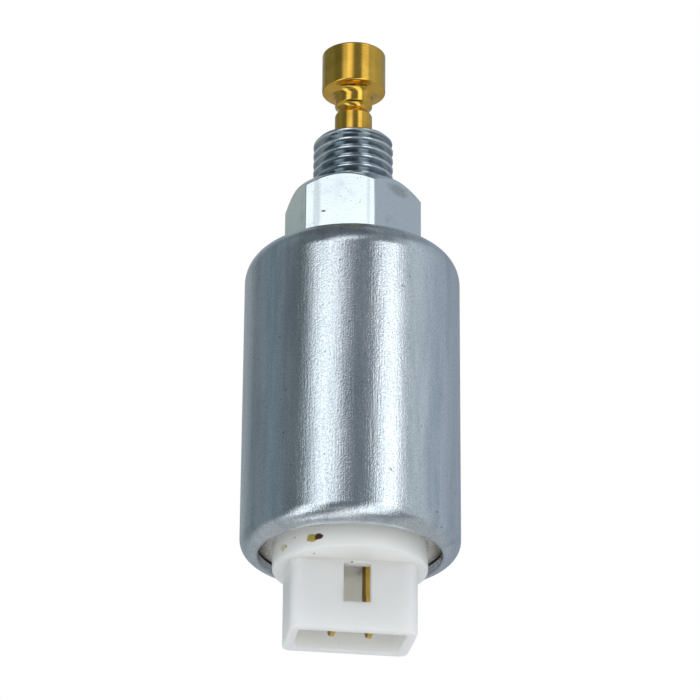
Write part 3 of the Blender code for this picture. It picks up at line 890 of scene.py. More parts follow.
@dataclass
class Can:
    """The drawn can with its round shoulder, rolled lip and hole for the fitting's neck.

    Attributes:
        wall: Thickness of the sheet.
        shoulder: Outer radius of the shoulder.
        roll: Outer radius of the rolled edge.
        lip_flat: Flat stretch of the lip inside the roll.
        neck_hole: Radius of the hole in the top.
        finish: Its surface.
    """

    wall: float = 1.2 * MM
    shoulder: float = 3.7 * MM
    roll: float = 2.1 * MM
    lip_flat: float = 0.15 * MM
    neck_hole: float = 5.0 * MM
    finish: DrawnZinc = field(default_factory=DrawnZinc)

    def build(self) -> None:
        """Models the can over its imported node."""
        low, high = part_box("can")
        radius = high.x
        top_centre = (radius - self.shoulder, high.z - self.shoulder)
        low_centre = (radius - self.roll, low.z + self.roll)
        opening = radius - self.roll - self.lip_flat
        edge = 0.25 * MM
        outline = [(self.neck_hole, high.z)]
        outline += arc(top_centre, self.shoulder, 90, 0, 20)
        outline += arc(low_centre, self.roll, 0, -90, 16)
        outline += arc((opening + edge, low.z + edge), edge, -90, -180, 4)
        outline += arc((opening + edge, low.z + self.wall - edge), edge, 180, 90, 4)
        outline += arc(low_centre, self.roll - self.wall, -90, 0, 8)
        outline += arc(top_centre, self.shoulder - self.wall, 0, 90, 12)
        outline += [(self.neck_hole, high.z - self.wall)]
        shell = turned("drawn_can", outline, 192)
        hand_over(shell, self.finish.material(), Body.HOUSING, ["can"])


@dataclass
class Fitting:
    """The hexagon with its threaded nose and the neck that is staked in the can.

    Attributes:
        across_flats: Wrench size of the hexagon.
        hex_height: Height of the hexagon.
        hex_turn: Turn of the hexagon about the axis.
        chamfer_diameter: Diameter where the hexagon's chamfer starts.
        chamfer_slope: Slope of that chamfer.
        thread_diameter: Outside diameter of the thread.
        pitch: Distance from crest to crest.
        thread_depth: Depth from crest to root.
        thread_phase: Height of a crest on the right-hand side, as a share of the pitch.
        end_chamfer: Width of the chamfer at the nose's end.
        lead_diameter: Diameter of the plain collar where the thread runs out at the nose's end.
        lead_height: Height of that collar.
        neck_diameter: Diameter of the neck through the can.
        staked_diameter: Diameter of the staked lip in the can.
        staked_height: Height of that lip.
        bore_diameter: Bore for the valve's shank.
        edge: Rounding of the hexagon's edges.
        finish: Its surface.
    """

    across_flats: float = 15.0 * MM
    hex_height: float = 8.3 * MM
    hex_turn: float = math.radians(18)
    chamfer_diameter: float = 14.5 * MM
    chamfer_slope: float = math.radians(46)
    thread_diameter: float = 10.0 * MM
    pitch: float = 1.25 * MM
    thread_depth: float = 0.68 * MM
    thread_phase: float = 0.0
    end_chamfer: float = 0.45 * MM
    lead_diameter: float = 9.3 * MM
    lead_height: float = 0.95 * MM
    neck_diameter: float = 9.4 * MM
    staked_diameter: float = 10.8 * MM
    staked_height: float = 0.7 * MM
    bore_diameter: float = 5.5 * MM
    edge: float = 0.08 * MM
    finish: TurnedZinc = field(default_factory=TurnedZinc)

    def build(self) -> None:
        """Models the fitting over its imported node."""
        low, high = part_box("threaded_fitting")
        hex_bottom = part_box("can")[1].z + GAP
        hex_top = hex_bottom + self.hex_height
        body = self.hexagon(hex_bottom, hex_top)
        combine(body, self.nose(hex_top, high.z), Join.ADD)
        combine(body, self.lead(high.z), Join.ADD)
        combine(body, self.neck(low.z, hex_bottom), Join.ADD)
        combine(body, self.bore(low.z, high.z), Join.CUT)
        hand_over(body, self.finish.material(), Body.HOUSING, ["threaded_fitting"])

    def hexagon(self, bottom: float, top: float) -> Object:
        """Makes the hexagon with its turned chamfer and broken edges.

        Args:
            bottom: Height of its lower face.
            top: Height of its upper face.

        Returns:
            The hexagon.
        """
        corner = self.across_flats / 2 / math.cos(math.pi / 6)
        bpy.ops.mesh.primitive_cylinder_add(
            vertices=6,
            radius=corner,
            depth=top - bottom,
            location=(0, 0, (bottom + top) / 2),
            rotation=(0, 0, self.hex_turn),
        )
        body = started("threaded_nose")
        start = self.chamfer_diameter / 2
        reach = corner + 2 * MM
        drop = (reach - start) * math.tan(self.chamfer_slope)
        cone = [(0, bottom - MM), (reach, bottom - MM), (reach, top - drop), (start, top), (0, top + MM)]
        combine(body, turned("hex_cone", cone, SMALL_STEPS), Join.KEEP)
        break_edges(body, self.edge)
        return body

    def nose(self, hex_top: float, end: float) -> Object:
        """Makes the threaded nose: one tooth swept round and up the axis, then trimmed.

        Args:
            hex_top: Height of the hexagon's upper face.
            end: Height of the nose's end.

        Returns:
            The nose.
        """
        crest = self.thread_diameter / 2
        root = crest - self.thread_depth
        edge = 0.06 * MM
        play = 0.2 * MM
        start = hex_top - 2 * self.pitch + self.thread_phase * self.pitch
        flank = [(root, 0.5), (root, 0.42), (root + edge, 0.37), (crest - edge, 0.11), (crest, 0.06)]
        tooth = [(radius, start - share * self.pitch) for radius, share in flank]
        tooth += [(radius, start + share * self.pitch) for radius, share in reversed(flank)]
        thread = drawn("thread", tooth)
        coil(thread, self.pitch, math.ceil((end - hex_top) / self.pitch) + 4, SMALL_STEPS, fan=True)
        low = hex_top - self.hex_height / 2
        envelope = [
            (0, low),
            (crest + play, low),
            (crest + play, end - self.end_chamfer - play),
            (crest - self.end_chamfer, end),
            (0, end),
        ]
        combine(thread, turned("nose_envelope", envelope, SMALL_STEPS), Join.KEEP)
        return thread

    def lead(self, end: float) -> Object:
        """Makes the plain collar with a rounded edge in which the thread runs out.

        Args:
            end: Height of the nose's end.

        Returns:
            The collar.
        """
        edge = 0.4 * MM
        radius = self.lead_diameter / 2
        bottom = end - self.lead_height
        outline = [(0, bottom - self.thread_depth), (radius - self.thread_depth, bottom - self.thread_depth)]
        outline += [(radius, bottom)]
        outline += arc((radius - edge, end - edge), edge, 0, 90, 8)
        outline += [(0, end)]
        return turned("lead_collar", outline, SMALL_STEPS)

    def neck(self, low: float, hex_bottom: float) -> Object:
        """Makes the neck and its staked lip below the hexagon.

        Args:
            low: Height of the lip's lower face.
            hex_bottom: Height of the hexagon's lower face.

        Returns:
            The neck.
        """
        edge = 0.3 * MM
        lip = self.staked_diameter / 2
        neck = self.neck_diameter / 2
        outline = [
            (0, low),
            (lip - edge, low),
            (lip, low + edge),
            (lip, low + self.staked_height),
            (neck, low + self.staked_height),
            (neck, hex_bottom + self.hex_height / 4),
            (0, hex_bottom + self.hex_height / 4),
        ]
        return turned("staked_neck", outline, SMALL_STEPS)

    def bore(self, low: float, end: float) -> Object:
        """Makes the shape of the bore, with a broken edge at the nose's end.

        Args:
            low: Height of the neck's end.
            end: Height of the nose's end.

        Returns:
            The shape to cut away.
        """
        radius = self.bore_diameter / 2
        flare = 0.25 * MM
        outline = [
            (0, low - MM),
            (radius, low - MM),
            (radius, end - flare),
            (radius + 2 * flare, end + flare),
            (0, end + flare),
        ]
        return turned("shank_bore", outline, SMALL_STEPS)


@dataclass
class Valve:
    """The turned brass valve: head, grooved shank and spigot.

    Attributes:
        head_height: Height of the head.
        head_edge: Rounding of the head's edges.
        shank_diameter: Diameter of the shank.
        groove_below_head: Distance from the head down to the groove's middle.
        groove_width: Width of the round groove.
        groove_depth: Depth of the round groove.
        spigot_diameter: Diameter of the spigot in the armature.
        spigot_length: Length of that spigot.
        fillet: Radius of the round corner between the shank and the head.
        finish: Its surface.
    """

    head_height: float = 5.4 * MM
    head_edge: float = 0.22 * MM
    shank_diameter: float = 4.7 * MM
    groove_below_head: float = 2.6 * MM
    groove_width: float = 1.2 * MM
    groove_depth: float = 0.45 * MM
    spigot_diameter: float = 3.4 * MM
    spigot_length: float = 4.8 * MM
    fillet: float = 0.9 * MM
    finish: BareMetal = BareMetal("turned_brass", "#E8B94E", "#C0953A", (40, 40, 0.14), 0.006, 0.14)

    def build(self) -> None:
        """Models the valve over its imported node."""
        low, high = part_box("valve_head")
        radius = high.x
        head = high.z - self.head_height
        shank = self.shank_diameter / 2
        spigot = self.spigot_diameter / 2
        spigot_top = low.z + self.spigot_length
        depth, half = self.groove_depth, self.groove_width / 2
        groove_radius = (depth**2 + half**2) / (2 * depth)
        sweep = math.degrees(math.asin(half / groove_radius))
        groove_centre = (shank - depth + groove_radius, head - self.groove_below_head)
        lip = 0.1 * MM
        groove_low, groove_high = groove_centre[1] - half, groove_centre[1] + half
        outline = [
            (0, low.z),
            (spigot - lip, low.z),
            (spigot, low.z + lip),
            (spigot, spigot_top),
            (shank - lip, spigot_top),
            (shank, spigot_top + lip),
        ]
        outline += arc((shank - 3 * lip, groove_low - 3 * lip), 3 * lip, 0, 50, 5)
        outline += arc(groove_centre, groove_radius, 180 + sweep, 180 - sweep, 10)[1:-1]
        outline += arc((shank - lip, groove_high + lip), lip, -60, 0, 3)
        outline += arc((shank + self.fillet, head - self.fillet), self.fillet, 180, 90, 8)
        outline += arc((radius - self.head_edge, head + self.head_edge), self.head_edge, -90, 0, 5)
        outline += arc((radius - self.head_edge, high.z - self.head_edge), self.head_edge, 0, 90, 5)
        outline += [(0, high.z)]
        valve = turned("turned_valve", outline, 128)
        hand_over(valve, self.finish.material(), Body.PLUNGER, ["valve_head"])


@dataclass
class ReturnSpring:
    """The compression spring, modelled at its imported length; the real one shortens as the valve is pulled
    in.

    Attributes:
        wire: Diameter of the wire.
        turns: Number of turns.
        stroke: Travel of the valve. Not used.
        finish: Its surface.
    """

    wire: float = 0.6 * MM
    turns: int = 8
    stroke: float = 3.5 * MM
    finish: BareMetal = BareMetal("spring_wire", "#B9BCBE", "#8F9498", (0.5, 0.5, 0.5), 0.004, 0.26)

    def build(self) -> None:
        """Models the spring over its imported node."""
        low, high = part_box("return_spring")
        radius = high.x - self.wire / 2
        length = high.z - low.z
        bpy.ops.mesh.primitive_circle_add(
            vertices=12,
            radius=self.wire / 2,
            fill_type="NGON",
            location=(radius, 0, low.z + self.wire / 2),
            rotation=(math.pi / 2, 0, 0),
        )
        spring = started("coiled_spring")
        with editing(spring, Part.FACES):
            pick(spring, Part.FACES, lambda f: True)
            bpy.ops.mesh.delete(type="ONLY_FACE")
        coil(spring, (length - self.wire) / self.turns, self.turns, 40)
        hand_over(spring, self.finish.material(), Body.HOUSING, ["return_spring"])
        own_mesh(spring)


@dataclass
class ConnectorCap:
    """The nylon cap: flange in the can, round boss, and rectangular socket with its latch window.

    Attributes:
        turn: Turn of the socket about the axis.
        flange_thickness: Thickness of the flange.
        floor_top: Height of the floor that carries the blades.
        boss_bottom: Height of the boss's lower face.
        boss_radius: Radius of the boss.
        seal_section: Section of the O-ring above the flange.
        well_wall: Wall round the well above the floor.
        width: Outside width of the socket.
        depth: Outside depth of the socket.
        wall: Wall of the socket.
        corner: Radius of the socket's upright corners.
        ceiling: Height of the socket's inner end.
        window_width: Width of the latch window.
        window_top: Height of the window's upper edge.
        window_bottom: Height of the window's lower edge.
        window_place: How far the window's middle lies right of the socket's.
        finish: Its surface.
    """

    turn: float = math.radians(8.4)
    flange_thickness: float = 3.0 * MM
    floor_top: float = 12.0 * MM
    boss_bottom: float = 8.7 * MM
    boss_radius: float = 9.3 * MM
    seal_section: float = 1.5 * MM
    well_wall: float = 0.8 * MM
    width: float = 15.2 * MM
    depth: float = 8.9 * MM
    wall: float = 1.2 * MM
    corner: float = 1.2 * MM
    ceiling: float = 9.1 * MM
    window_width: float = 3.3 * MM
    window_top: float = 8.35 * MM
    window_bottom: float = 3.5 * MM
    window_place: float = 0.25 * MM
    finish: NaturalNylon = NaturalNylon(
        "natural_nylon",
        "#FAF8F1",
        "#F5F3EC",
        0.36,
        3.5,
        1.0,
        (
            # Painted shade: the two large brown patches darken the flange at the sides, in the recess between
            # it and the can's lip.
            Stain((-10.9, -1.2, 12.15), (1.5, 9.0, 2.2), "#857A68", 0.9, 0.5),
            Stain((10.9, -1.2, 12.15), (1.5, 9.0, 2.2), "#857A68", 0.9, 0.5),
            Stain((-4.5, -8.1, 10.0), (0.75, 0.75, 0.5), "#B5A21A", 0.9),
            Stain((-3.7, -8.5, 10.05), (0.55, 0.6, 0.4), "#4A1C02", 1.0),
            Stain((-7.9, -4.95, 9.95), (0.6, 0.6, 0.42), "#CBBE86", 0.7),
            Stain((-7.53, -5.45, 9.9), (0.13, 0.13, 0.13), "#6A5A30", 0.9),
            Stain((-6.53, -6.62, 10.59), (0.13, 0.13, 0.13), "#5A5148", 0.9),
            Stain((-4.24, -6.46, 8.7), (0.16, 0.16, 0.16), "#4A433C", 0.9),
            Stain((0.21, -4.47, 8.41), (0.14, 0.14, 0.14), "#4A433C", 0.9),
            Stain((-1.24, 3.25, 0.95), (0.16, 0.16, 0.16), "#5A5148", 0.9),
        ),
    )

    def build(self) -> None:
        """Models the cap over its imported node."""
        cap = self.flange_and_boss()
        combine(cap, self.socket(), Join.ADD)
        combine(cap, self.hollow(), Join.CUT)
        combine(cap, self.window(), Join.CUT)
        for direction in (-1, 1):
            combine(cap, self.slot(direction), Join.CUT)
        finish = self.finish.material()
        hand_over(cap, finish, Body.HOUSING, ["connector_cap"], self.turn)

    def flange_and_boss(self) -> Object:
        """Turns the flange, its seat for the O-ring and the boss in one piece.

        Returns:
            The cap without its socket.
        """
        radius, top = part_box("rear_flux_plate")[1].x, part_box("connector_cap")[1].z
        bottom = top - self.flange_thickness
        seat_radius = radius - self.seal_section - GAP
        seat = top - self.seal_section - GAP
        chamfer = 0.6 * MM
        well = min(seat_radius, self.boss_radius) - self.well_wall
        edge = 0.35 * MM
        outline = [(0, self.boss_bottom)]
        outline += arc((self.boss_radius - edge, self.boss_bottom + edge), edge, -90, 0, 5)
        outline += [
            (self.boss_radius, bottom),
            (radius - chamfer, bottom),
            (radius, bottom + chamfer),
            (radius, seat),
            (seat_radius, seat),
            (seat_radius, top),
            (well, top),
            (well, self.floor_top),
            (0, self.floor_top),
        ]
        return turned("moulded_cap", outline, 128)

    def socket(self) -> Object:
        """Makes the socket's outer block with round corners and rims.

        Returns:
            The block.
        """
        socket = block("socket", (self.width, self.depth), 0, self.boss_bottom + MM, self.corner)
        round_edges(socket, 0.3 * MM, 4, lambda e: all(v.co.z < WELD_DISTANCE for v in e.verts))
        return socket

    def hollow(self) -> Object:
        """Makes the shape of the socket's inside, wider at its mouth.

        Returns:
            The shape to cut away.
        """
        width, depth = self.width - 2 * self.wall, self.depth - 2 * self.wall
        flare = 0.18 * MM
        hollow = block("hollow", (width, depth), flare, self.ceiling, self.corner / 2)
        inner_end = self.ceiling - WELD_DISTANCE
        round_edges(hollow, 0.5 * MM, 5, lambda e: all(v.co.z > inner_end for v in e.verts))
        with editing(hollow, Part.FACES):
            pick(hollow, Part.FACES, lambda f: all(abs(v.co.z - flare) < WELD_DISTANCE for v in f.verts))
            bpy.ops.mesh.extrude_region_move(TRANSFORM_OT_translate={"value": (0, 0, -2 * flare)})
            grow = (1 + 4 * flare / width, 1 + 4 * flare / depth, 1)
            bpy.ops.transform.resize(value=grow, center_override=(0, 0, -flare))
        return hollow

    def window(self) -> Object:
        """Makes the shape of the latch window through the front wall."""
        size, place = (self.window_width, self.wall * 3), (self.window_place, -self.depth / 2)
        return block("window", size, self.window_bottom, self.window_top, place=place)

    def slot(self, direction: int) -> Object:
        """Makes the shape of the slot for one blade, with some play round it.

        Args:
            direction: Side of the blade, -1 for the left and 1 for the right.

        Returns:
            The shape to cut away.
        """
        size = (BLADE_THICKNESS + 2 * GAP, BLADE_WIDTH + 2 * GAP)
        place = (BLADE_PLACE + direction * BLADE_PITCH / 2, 0)
        return block("slot", size, self.ceiling - GAP, self.floor_top + GAP, place=place)


@dataclass
class Blades:
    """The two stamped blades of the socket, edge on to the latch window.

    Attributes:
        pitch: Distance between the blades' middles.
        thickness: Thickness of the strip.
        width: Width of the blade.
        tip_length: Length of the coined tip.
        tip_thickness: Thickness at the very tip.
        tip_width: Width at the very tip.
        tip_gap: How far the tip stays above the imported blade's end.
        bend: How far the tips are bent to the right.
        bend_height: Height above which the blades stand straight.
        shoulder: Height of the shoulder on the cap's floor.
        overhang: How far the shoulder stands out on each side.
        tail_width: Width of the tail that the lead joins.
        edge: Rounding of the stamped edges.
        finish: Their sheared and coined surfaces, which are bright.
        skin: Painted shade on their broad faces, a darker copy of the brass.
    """

    pitch: float = BLADE_PITCH
    thickness: float = BLADE_THICKNESS
    width: float = BLADE_WIDTH
    tip_length: float = 0.9 * MM
    tip_thickness: float = 0.34 * MM
    tip_width: float = 1.2 * MM
    tip_gap: float = 0.22 * MM
    bend: float = 0.35 * MM
    bend_height: float = 6.0 * MM
    shoulder: float = 0.5 * MM
    overhang: float = 0.8 * MM
    tail_width: float = 2.0 * MM
    edge: float = 0.06 * MM
    finish: BareMetal = BareMetal("sheared_brass", "#F2D068", "#D8B040", (0.3, 0.3, 2.5), 0.01, 0.42)
    # Painted shade: a darker copy of the brass, laid on the blades' broad faces.
    skin: BareMetal = BareMetal("shaded_brass_broad_faces", "#9C7620", "#705414", (0.3, 0.3, 2.5), 0.01, 0.5)

    def build(self, turn: float, floor_top: float) -> None:
        """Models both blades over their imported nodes.

        Args:
            turn: Turn of the socket about the axis.
            floor_top: Height of the cap's floor.
        """
        finish, skin = self.finish.material(), self.skin.material()
        across = Vector((math.cos(turn), math.sin(turn), 0))
        for side, direction in (("left", -1), ("right", 1)):
            blade = self.blade(f"blade_{side}", BLADE_PLACE + direction * self.pitch / 2, floor_top)
            hand_over(blade, finish, Body.HOUSING, [f"terminal_{side}"], turn)
            # Painted shade: the broad faces get the darker copy of the brass.
            blade.data.materials.append(skin)
            with editing(blade, Part.FACES):
                pick(blade, Part.FACES, lambda f: abs(f.normal.dot(across)) > 0.7)
                blade.active_material_index = 1
                bpy.ops.object.material_slot_assign()

    def blade(self, name: str, middle: float, floor_top: float) -> Object:
        """Draws one blade out section by section.

        Args:
            name: Name of the piece.
            middle: Place of its middle along X before the turn.
            floor_top: Height of the cap's floor.

        Returns:
            The blade.
        """
        low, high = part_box("terminal_left")
        seat = floor_top + GAP
        wide = 2 * self.overhang
        sections = []
        for share in (0.0, 0.1, 0.25, 0.45, 0.7, 1.0):
            bulge = math.sqrt(1 - (1 - share) ** 2)
            thickness = self.tip_thickness + bulge * (self.thickness - self.tip_thickness)
            width = self.tip_width + bulge * (self.width - self.tip_width)
            sections.append((thickness, width, low.z + self.tip_gap + share * self.tip_length))
        straight = self.bend_height - sections[0][2]
        sections += [
            (self.thickness, self.width, self.bend_height),
            (self.thickness, self.width, seat),
            (self.thickness + wide, self.width + wide, seat),
            (self.thickness + wide, self.width + wide, seat + self.shoulder),
            (self.thickness, self.tail_width, seat + self.shoulder),
            (self.thickness, self.tail_width, high.z),
        ]
        thickness, width, height = sections[0]
        place = middle + self.bend
        bpy.ops.mesh.primitive_plane_add(size=1, location=(place, 0, height))
        blade = bpy.context.active_object
        blade.name = name
        blade.scale = (thickness, width, 1)
        settle(blade)
        with editing(blade, Part.FACES):
            bpy.ops.mesh.select_all(action="SELECT")
            for after_thickness, after_width, after_height in sections[1:]:
                after_place = middle + self.bend * max(0, (self.bend_height - after_height) / straight)
                rise = (after_place - place, 0, after_height - height)
                bpy.ops.mesh.extrude_region_move(TRANSFORM_OT_translate={"value": rise})
                grow = (after_thickness / thickness, after_width / width, 1)
                place = after_place
                bpy.ops.transform.resize(value=grow, center_override=(place, 0, after_height))
                thickness, width, height = after_thickness, after_width, after_height
            bpy.ops.mesh.select_all(action="SELECT")
            bpy.ops.mesh.normals_make_consistent(inside=False)
        break_edges(blade, self.edge)
        return blade


@dataclass
class Insides:
    """The pieces in the can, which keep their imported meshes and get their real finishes."""

    iron: BareMetal = BareMetal("turned_soft_iron", "#A3A5A6", "#7D8082", (40, 40, 0.2), 0.01, 0.36)
    plate: BareMetal = BareMetal("punched_soft_iron", "#9C9EA0", "#74777A", (0.4, 6.0, 6.0), 0.012, 0.4)
    strip: BareMetal = BareMetal("rolled_spring_steel", "#B4B7B9", "#888C90", (0.3, 5.0, 5.0), 0.006, 0.28)
    tube: BareMetal = BareMetal("drawn_brass_tube", "#D8AE4C", "#AE842F", (0.2, 0.2, 8.0), 0.008, 0.24)
    former: NaturalNylon = NaturalNylon("moulded_bobbin_nylon", "#D9D5C4", "#CCC7B3", 0.42, 0.8, 0.15)
    wire: WoundWire = field(default_factory=WoundWire)
    tape: SoftSkin = SoftSkin("polyester_winding_tape", "#D9B64C", "#C9A23B", (9.0, 9.0, 0.9), 0.38, 1.57)
    lead: SoftSkin = SoftSkin("lead_insulation", "#A82A22", "#B8423A", (0.4, 0.4, 1.6), 0.45, 1.5)
    rubber: SoftSkin = SoftSkin("nitrile_rubber", "#1B1B1C", "#2A2A2B", (0.3, 0.3, 0.3), 0.62, 1.52)

    def dress(self, nodes: dict[str, Object]) -> None:
        """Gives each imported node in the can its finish.

        Args:
            nodes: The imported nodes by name.
        """
        finishes = {
            self.iron: ("armature", "stop_core"),
            self.plate: ("front_flux_plate", "rear_flux_plate"),
            self.strip: ("wave_washer",),
            self.tube: ("guide_sleeve",),
            self.former: ("bobbin",),
            self.wire: ("coil_winding",),
            self.tape: ("winding_tape",),
            self.lead: ("lead_left", "lead_right"),
            self.rubber: ("bumper", "sleeve_seal_front", "sleeve_seal_rear", "cap_seal"),
        }
        for finish, names in finishes.items():
            material = finish.material()
            for name in names:
                for place in nodes[name].material_slots:
                    place.material = material
                LOG.info("%s: packed node, finished as %s", name, finish.name)


@dataclass(frozen=True)
class Cloth:
    """A cloth of the light tent.

    Attributes:
        tint: Its colour.
        brightness: Its brightness, where one is white paper in the picture.
    """

    tint: str
    brightness: float

    def light(self) -> Colour:
        """Gives its light as a linear colour."""
        red, green, blue, alpha = linear(self.tint)
        return (red * self.brightness, green * self.brightness, blue * self.brightness, alpha)


@dataclass(frozen=True)
class Wall(Cloth):
    """One stretch of the tent's walls.

    Attributes:
        start: First bearing in degrees, zero towards the camera and growing towards +X.
        end: Last bearing in degrees.
    """

    start: float
    end: float


@dataclass(frozen=True)
class Cover(Cloth):
    """One cloth above or below the walls.

    Attributes:
        start: Height at which it starts, where one is straight above.
        full: Height from which it is full.
    """

    start: float
    full: float


@dataclass(frozen=True)
class Panel(Cloth):
    """One bright or dark panel that hangs in the tent, with soft edges.

    Attributes:
        bearing: Bearing of its middle in degrees, as a wall's.
        half_width: Half its width in degrees.
        height: Height of its middle, as a cover's.
        half_height: Half its height.
    """

    bearing: float
    half_width: float
    height: float
    half_height: float


@dataclass(frozen=True)
class Band(Cloth):
    """One long bright cloth that crosses the tent in a straight line, with soft edges.

    Attributes:
        across: Direction square to the band: towards +X, towards the camera and upwards.
        middle: Where its middle lies along that direction.
        half_width: Half its width.
        low_end: Heights at which it starts and is full.
        high_end: Heights at which it thins out and ends.
    """

    across: Triple
    middle: float
    half_width: float
    low_end: tuple[float, float]
    high_end: tuple[float, float]


class Tent(Paint):
    """The light tent while it is hung. The metal mirrors it."""

    def __init__(self, walls: Sequence[Wall]) -> None:
        """Starts a tent with its walls.

        Args:
            walls: The walls, from the back round by the left side, the front and the right side.
        """
        super().__init__(bpy.data.worlds.new("light_tent"), "Background", "Generated")
        axes = self.add("SeparateXYZ", {"Vector": self.place}).node.outputs
        self.depth, self.height = axes["Y"], axes["Z"]
        towards = self.add("Math", {0: self.depth, 1: -1.0}, operation="MULTIPLY")
        self.bearing = self.add("Math", {0: axes["X"], 1: towards}, operation="ARCTAN2")
        share = self.add("MapRange", {"Value": self.bearing, "From Min": -math.pi, "From Max": math.pi})
        stops = [((end + 180) / 360, wall.light()) for wall in walls for end in (wall.start, wall.end)]
        self.light = self.add("ValToRGB", {"Fac": share}, stops=stops)

    def within(self, off: NodeSocket, reach: float, soft: float) -> NodeSocket:
        """Gives one within a reach and fades to zero past it.

        Args:
            off: The distance, with its sign.
            reach: The reach.
            soft: Half the width of the fade.

        Returns:
            The share, from zero to one.
        """
        away = self.add("Math", {0: off}, operation="ABSOLUTE")
        return self.add("MapRange", {"Value": away, "From Min": reach + soft, "From Max": reach - soft})

    def hang(self, cloth: Cloth, shares: Sequence[NodeSocket]) -> None:
        """Hangs one cloth in front of the light so far.

        Args:
            cloth: The cloth.
            shares: Its extents, which are multiplied.
        """
        mask = shares[0]
        for share in shares[1:]:
            mask = self.add("Math", {0: mask, 1: share}, operation="MULTIPLY")
        self.light = self.coat(self.light, cloth.light(), mask)

    def cover(self, cover: Cover) -> None:
        """Lays one cloth above or below the walls."""
        self.light = self.coat(self.light, cover.light(), self.height, cover.start, cover.full)

    def panel(self, panel: Panel) -> None:
        """Hangs one panel.

        Args:
            panel: The panel.
        """
        above = self.add("Math", {0: self.height, 1: panel.height}, operation="SUBTRACT")
        off = self.add("Math", {0: self.bearing, 1: math.radians(panel.bearing)}, operation="SUBTRACT")
        beside = self.add("Math", {0: off, 1: math.pi, 2: -math.pi}, operation="WRAP")
        tall = self.within(above, panel.half_height, min(PANEL_FADE, panel.half_height / 2))
        wide = self.within(beside, math.radians(panel.half_width), BEARING_FADE)
        self.hang(panel, (tall, wide))

    def band(self, band: Band) -> None:
        """Stretches one band across the front of the tent.

        Args:
            band: The band.
        """
        right, near, up = band.across
        across = (right, -near, up)
        side = self.add("VectorMath", {0: self.place, 1: across}, "Value", operation="DOT_PRODUCT")
        off = self.add("Math", {0: side, 1: band.middle}, operation="SUBTRACT")
        shares = [self.within(off, band.half_width, BAND_FADE)]
        limits = ((self.height, band.low_end), (self.height, band.high_end[::-1]), (self.depth, FRONT_FADE))
        for axis, (start, full) in limits:
            shares.append(self.add("MapRange", {"Value": axis, "From Min": start, "From Max": full}))
        self.hang(band, shares)

    def close(self) -> World:
        """Closes the tent. The camera itself sees plain white behind the part.

        Returns:
            The world.
        """
        seen = self.add("LightPath", output="Is Camera Ray")
        return self.finish(Color=self.coat(self.light, linear(WHITE), seen))


@dataclass(frozen=True)
class Lamp:
    """One soft lamp.

    Attributes:
        name: Its name.
        place: Where it hangs.
        aim: The point that it faces.
        size: Width of its square face.
        power: Its power in watts.
    """

    name: str
    place: Triple
    aim: Triple
    size: float
    power: float


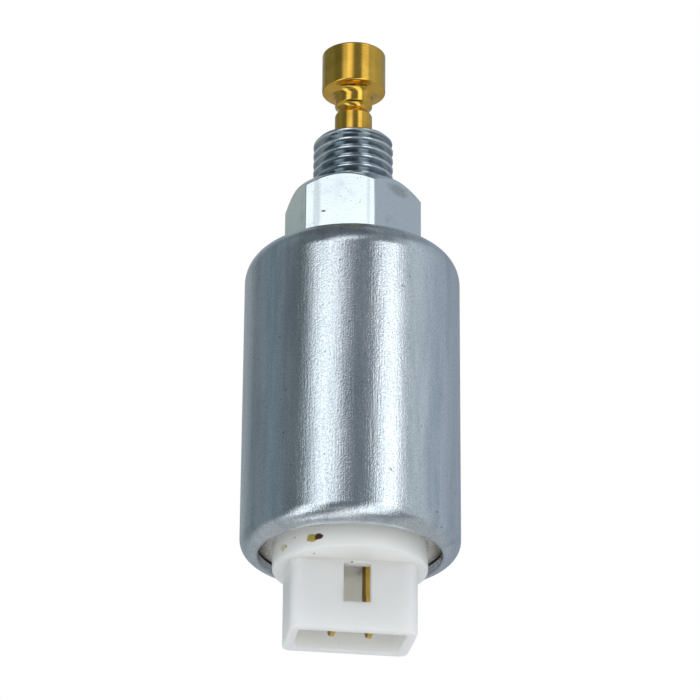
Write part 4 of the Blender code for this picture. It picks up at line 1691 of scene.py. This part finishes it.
@dataclass
class Studio:
    """The pale floor, the soft light and the camera.

    Attributes:
        floor_height: Height of the floor, well below the part so that it can be seen from below.
        floor_size: Width of the floor.
        walls: The tent's walls, from the back round by the left side, the front and the right side.
        covers: The cloths below and above them.
        panels: Dark and bright patches in the tent.
        bands: The long bright cloths, which draw the stripes on the can and the line on its rolled edge.
        lamps: The lamps.
        camera_place: Where the camera stands.
        camera_rise: How far it looks up, in radians.
        camera_roll: Its roll, in radians.
        lens: Focal length in millimetres on a 36 mm sensor.
    """

    floor_height: float = -0.5
    floor_size: float = 16.0
    walls: tuple[Wall, ...] = (
        Wall("#E6F2FA", 0.43, -180, -152),
        Wall("#D8EAF4", 0.27, -128, -120),
        Wall("#D2E6F2", 0.32, -98, -82),
        Wall("#D8E8F2", 0.21, -66, -34),
        Wall("#DDEAF6", 0.26, -8, 14),
        Wall("#E4EEF8", 0.30, 28, 50),
        Wall("#EAF4FC", 0.65, 66, 80),
        Wall("#E4F0FF", 0.53, 98, 110),
        Wall("#E2EEFF", 0.42, 136, 180),
    )
    covers: tuple[Cover, ...] = (Cover("#F2F8FC", 0.49, -0.22, -0.46), Cover("#E6F0F8", 0.16, 0.83, 0.91))
    panels: tuple[Panel, ...] = (
        Panel("#E4F0FA", 0.33, 98, 50, 0.90, 0.12),
        Panel("#F0FFF7", 0.48, -144, 10, 0.447, 0.012),
        Panel("#E0E8F0", 0.27, -35, 22, -0.62, 0.13),
        Panel("#E4ECF4", 0.31, 60, 12, -0.65, 0.30),
    )
    bands: tuple[Band, ...] = (
        Band("#F4FAFF", 1.50, (-0.691, -0.583, 0.426), 0.0, 0.20, (-0.66, -0.46), (0.455, 0.5)),
        Band("#F8FAFF", 1.40, (-0.738, -0.471, 0.483), 0.0, 0.13, (0.45, 0.47), (0.62, 0.76)),
        Band("#F8FCFF", 1.00, (-0.824, 0.482, 0.279), 0.0, 0.20, (-1.2, -1.1), (-0.82, -0.72)),
        Band("#F8FCFF", 1.45, (-0.824, 0.482, 0.279), -0.08, 0.26, (-0.86, -0.76), (0.0, 0.2)),
        Band("#F8FBFF", 1.95, (-0.824, 0.482, 0.279), -0.04, 0.18, (-0.1, 0.1), (0.455, 0.5)),
        Band("#F8FBFF", 0.85, (-0.824, 0.482, 0.279), -0.14, 0.10, (0.45, 0.47), (0.5, 0.66)),
    )
    lamps: tuple[Lamp, ...] = (
        Lamp("front_light", (-0.25, -0.9, 0.15), (0.0, 0.0, 0.01), 0.7, 0.62),
        Lamp("low_light", (0.2, -0.7, -0.42), (0.0, 0.0, 0.01), 0.5, 0.5),
        Lamp("floor_light", (0.0, 0.0, 2.2), (0.0, 0.0, -0.5), 4.0, 84.0),
    )
    camera_place: Triple = (-0.00021, -0.39156, -0.1365)
    camera_rise: float = math.radians(23.989)
    camera_roll: float = math.radians(0.45)
    lens: float = 180.0

    def build(self) -> None:
        """Sets up the studio."""
        self.floor()
        self.surroundings()
        self.lights()
        self.camera()

    def floor(self) -> None:
        """Lays the pale floor."""
        bpy.ops.mesh.primitive_plane_add(size=self.floor_size, location=(0, 0, self.floor_height))
        floor = bpy.context.active_object
        floor.name = "studio_floor"
        paint = Paint(bpy.data.materials.new("pale_paper"))
        grain = paint.mottle((25.0, 25.0, 25.0), detail=2.0)
        colour = paint.coat(linear("#EDEDED"), linear("#E9E9E9"), grain)
        floor.data.materials.append(paint.finish(Roughness=0.85, Base_Color=colour))
        floor.visible_glossy = False

    def surroundings(self) -> None:
        """Hangs the light tent."""
        tent = Tent(self.walls)
        for cover in self.covers:
            tent.cover(cover)
        for panel in self.panels:
            tent.panel(panel)
        for band in self.bands:
            tent.band(band)
        bpy.context.scene.world = tent.close()

    def lights(self) -> None:
        """Hangs the soft lamps, which light matt surfaces and aren't mirrored in the metal."""
        for lamp in self.lamps:
            data = bpy.data.lights.new(lamp.name, "AREA")
            data.size = lamp.size
            data.energy = lamp.power
            light = bpy.data.objects.new(lamp.name, data)
            light.location = lamp.place
            aim = Vector(lamp.aim) - Vector(lamp.place)
            light.rotation_euler = aim.to_track_quat("-Z", "Y").to_euler()
            light.visible_camera = False
            light.visible_glossy = False
            bpy.context.scene.collection.objects.link(light)

    def camera(self) -> None:
        """Stands the camera where the photograph was taken from."""
        data = bpy.data.cameras.new("camera")
        data.sensor_width = 36.0
        data.lens = self.lens
        data.clip_start = 0.02
        data.clip_end = 50.0
        camera = bpy.data.objects.new("camera", data)
        camera.location = self.camera_place
        tilt = Matrix.Rotation(math.pi / 2 + self.camera_rise, 4, "X")
        camera.rotation_euler = (tilt @ Matrix.Rotation(self.camera_roll, 4, "Z")).to_euler()
        bpy.context.scene.collection.objects.link(camera)
        bpy.context.scene.camera = camera
        bpy.context.scene.view_settings.view_transform = "Standard"


def main() -> None:
    """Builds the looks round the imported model."""
    logging.basicConfig(level=logging.INFO, format="%(message)s")
    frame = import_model()
    studio = Studio()
    studio.build()
    cap = ConnectorCap()
    Can().build()
    Fitting().build()
    Valve().build()
    ReturnSpring().build()
    cap.build()
    Blades().build(cap.turn, cap.floor_top)
    Insides().dress(frame["nodes"])


if __name__ == "__main__":
    main()
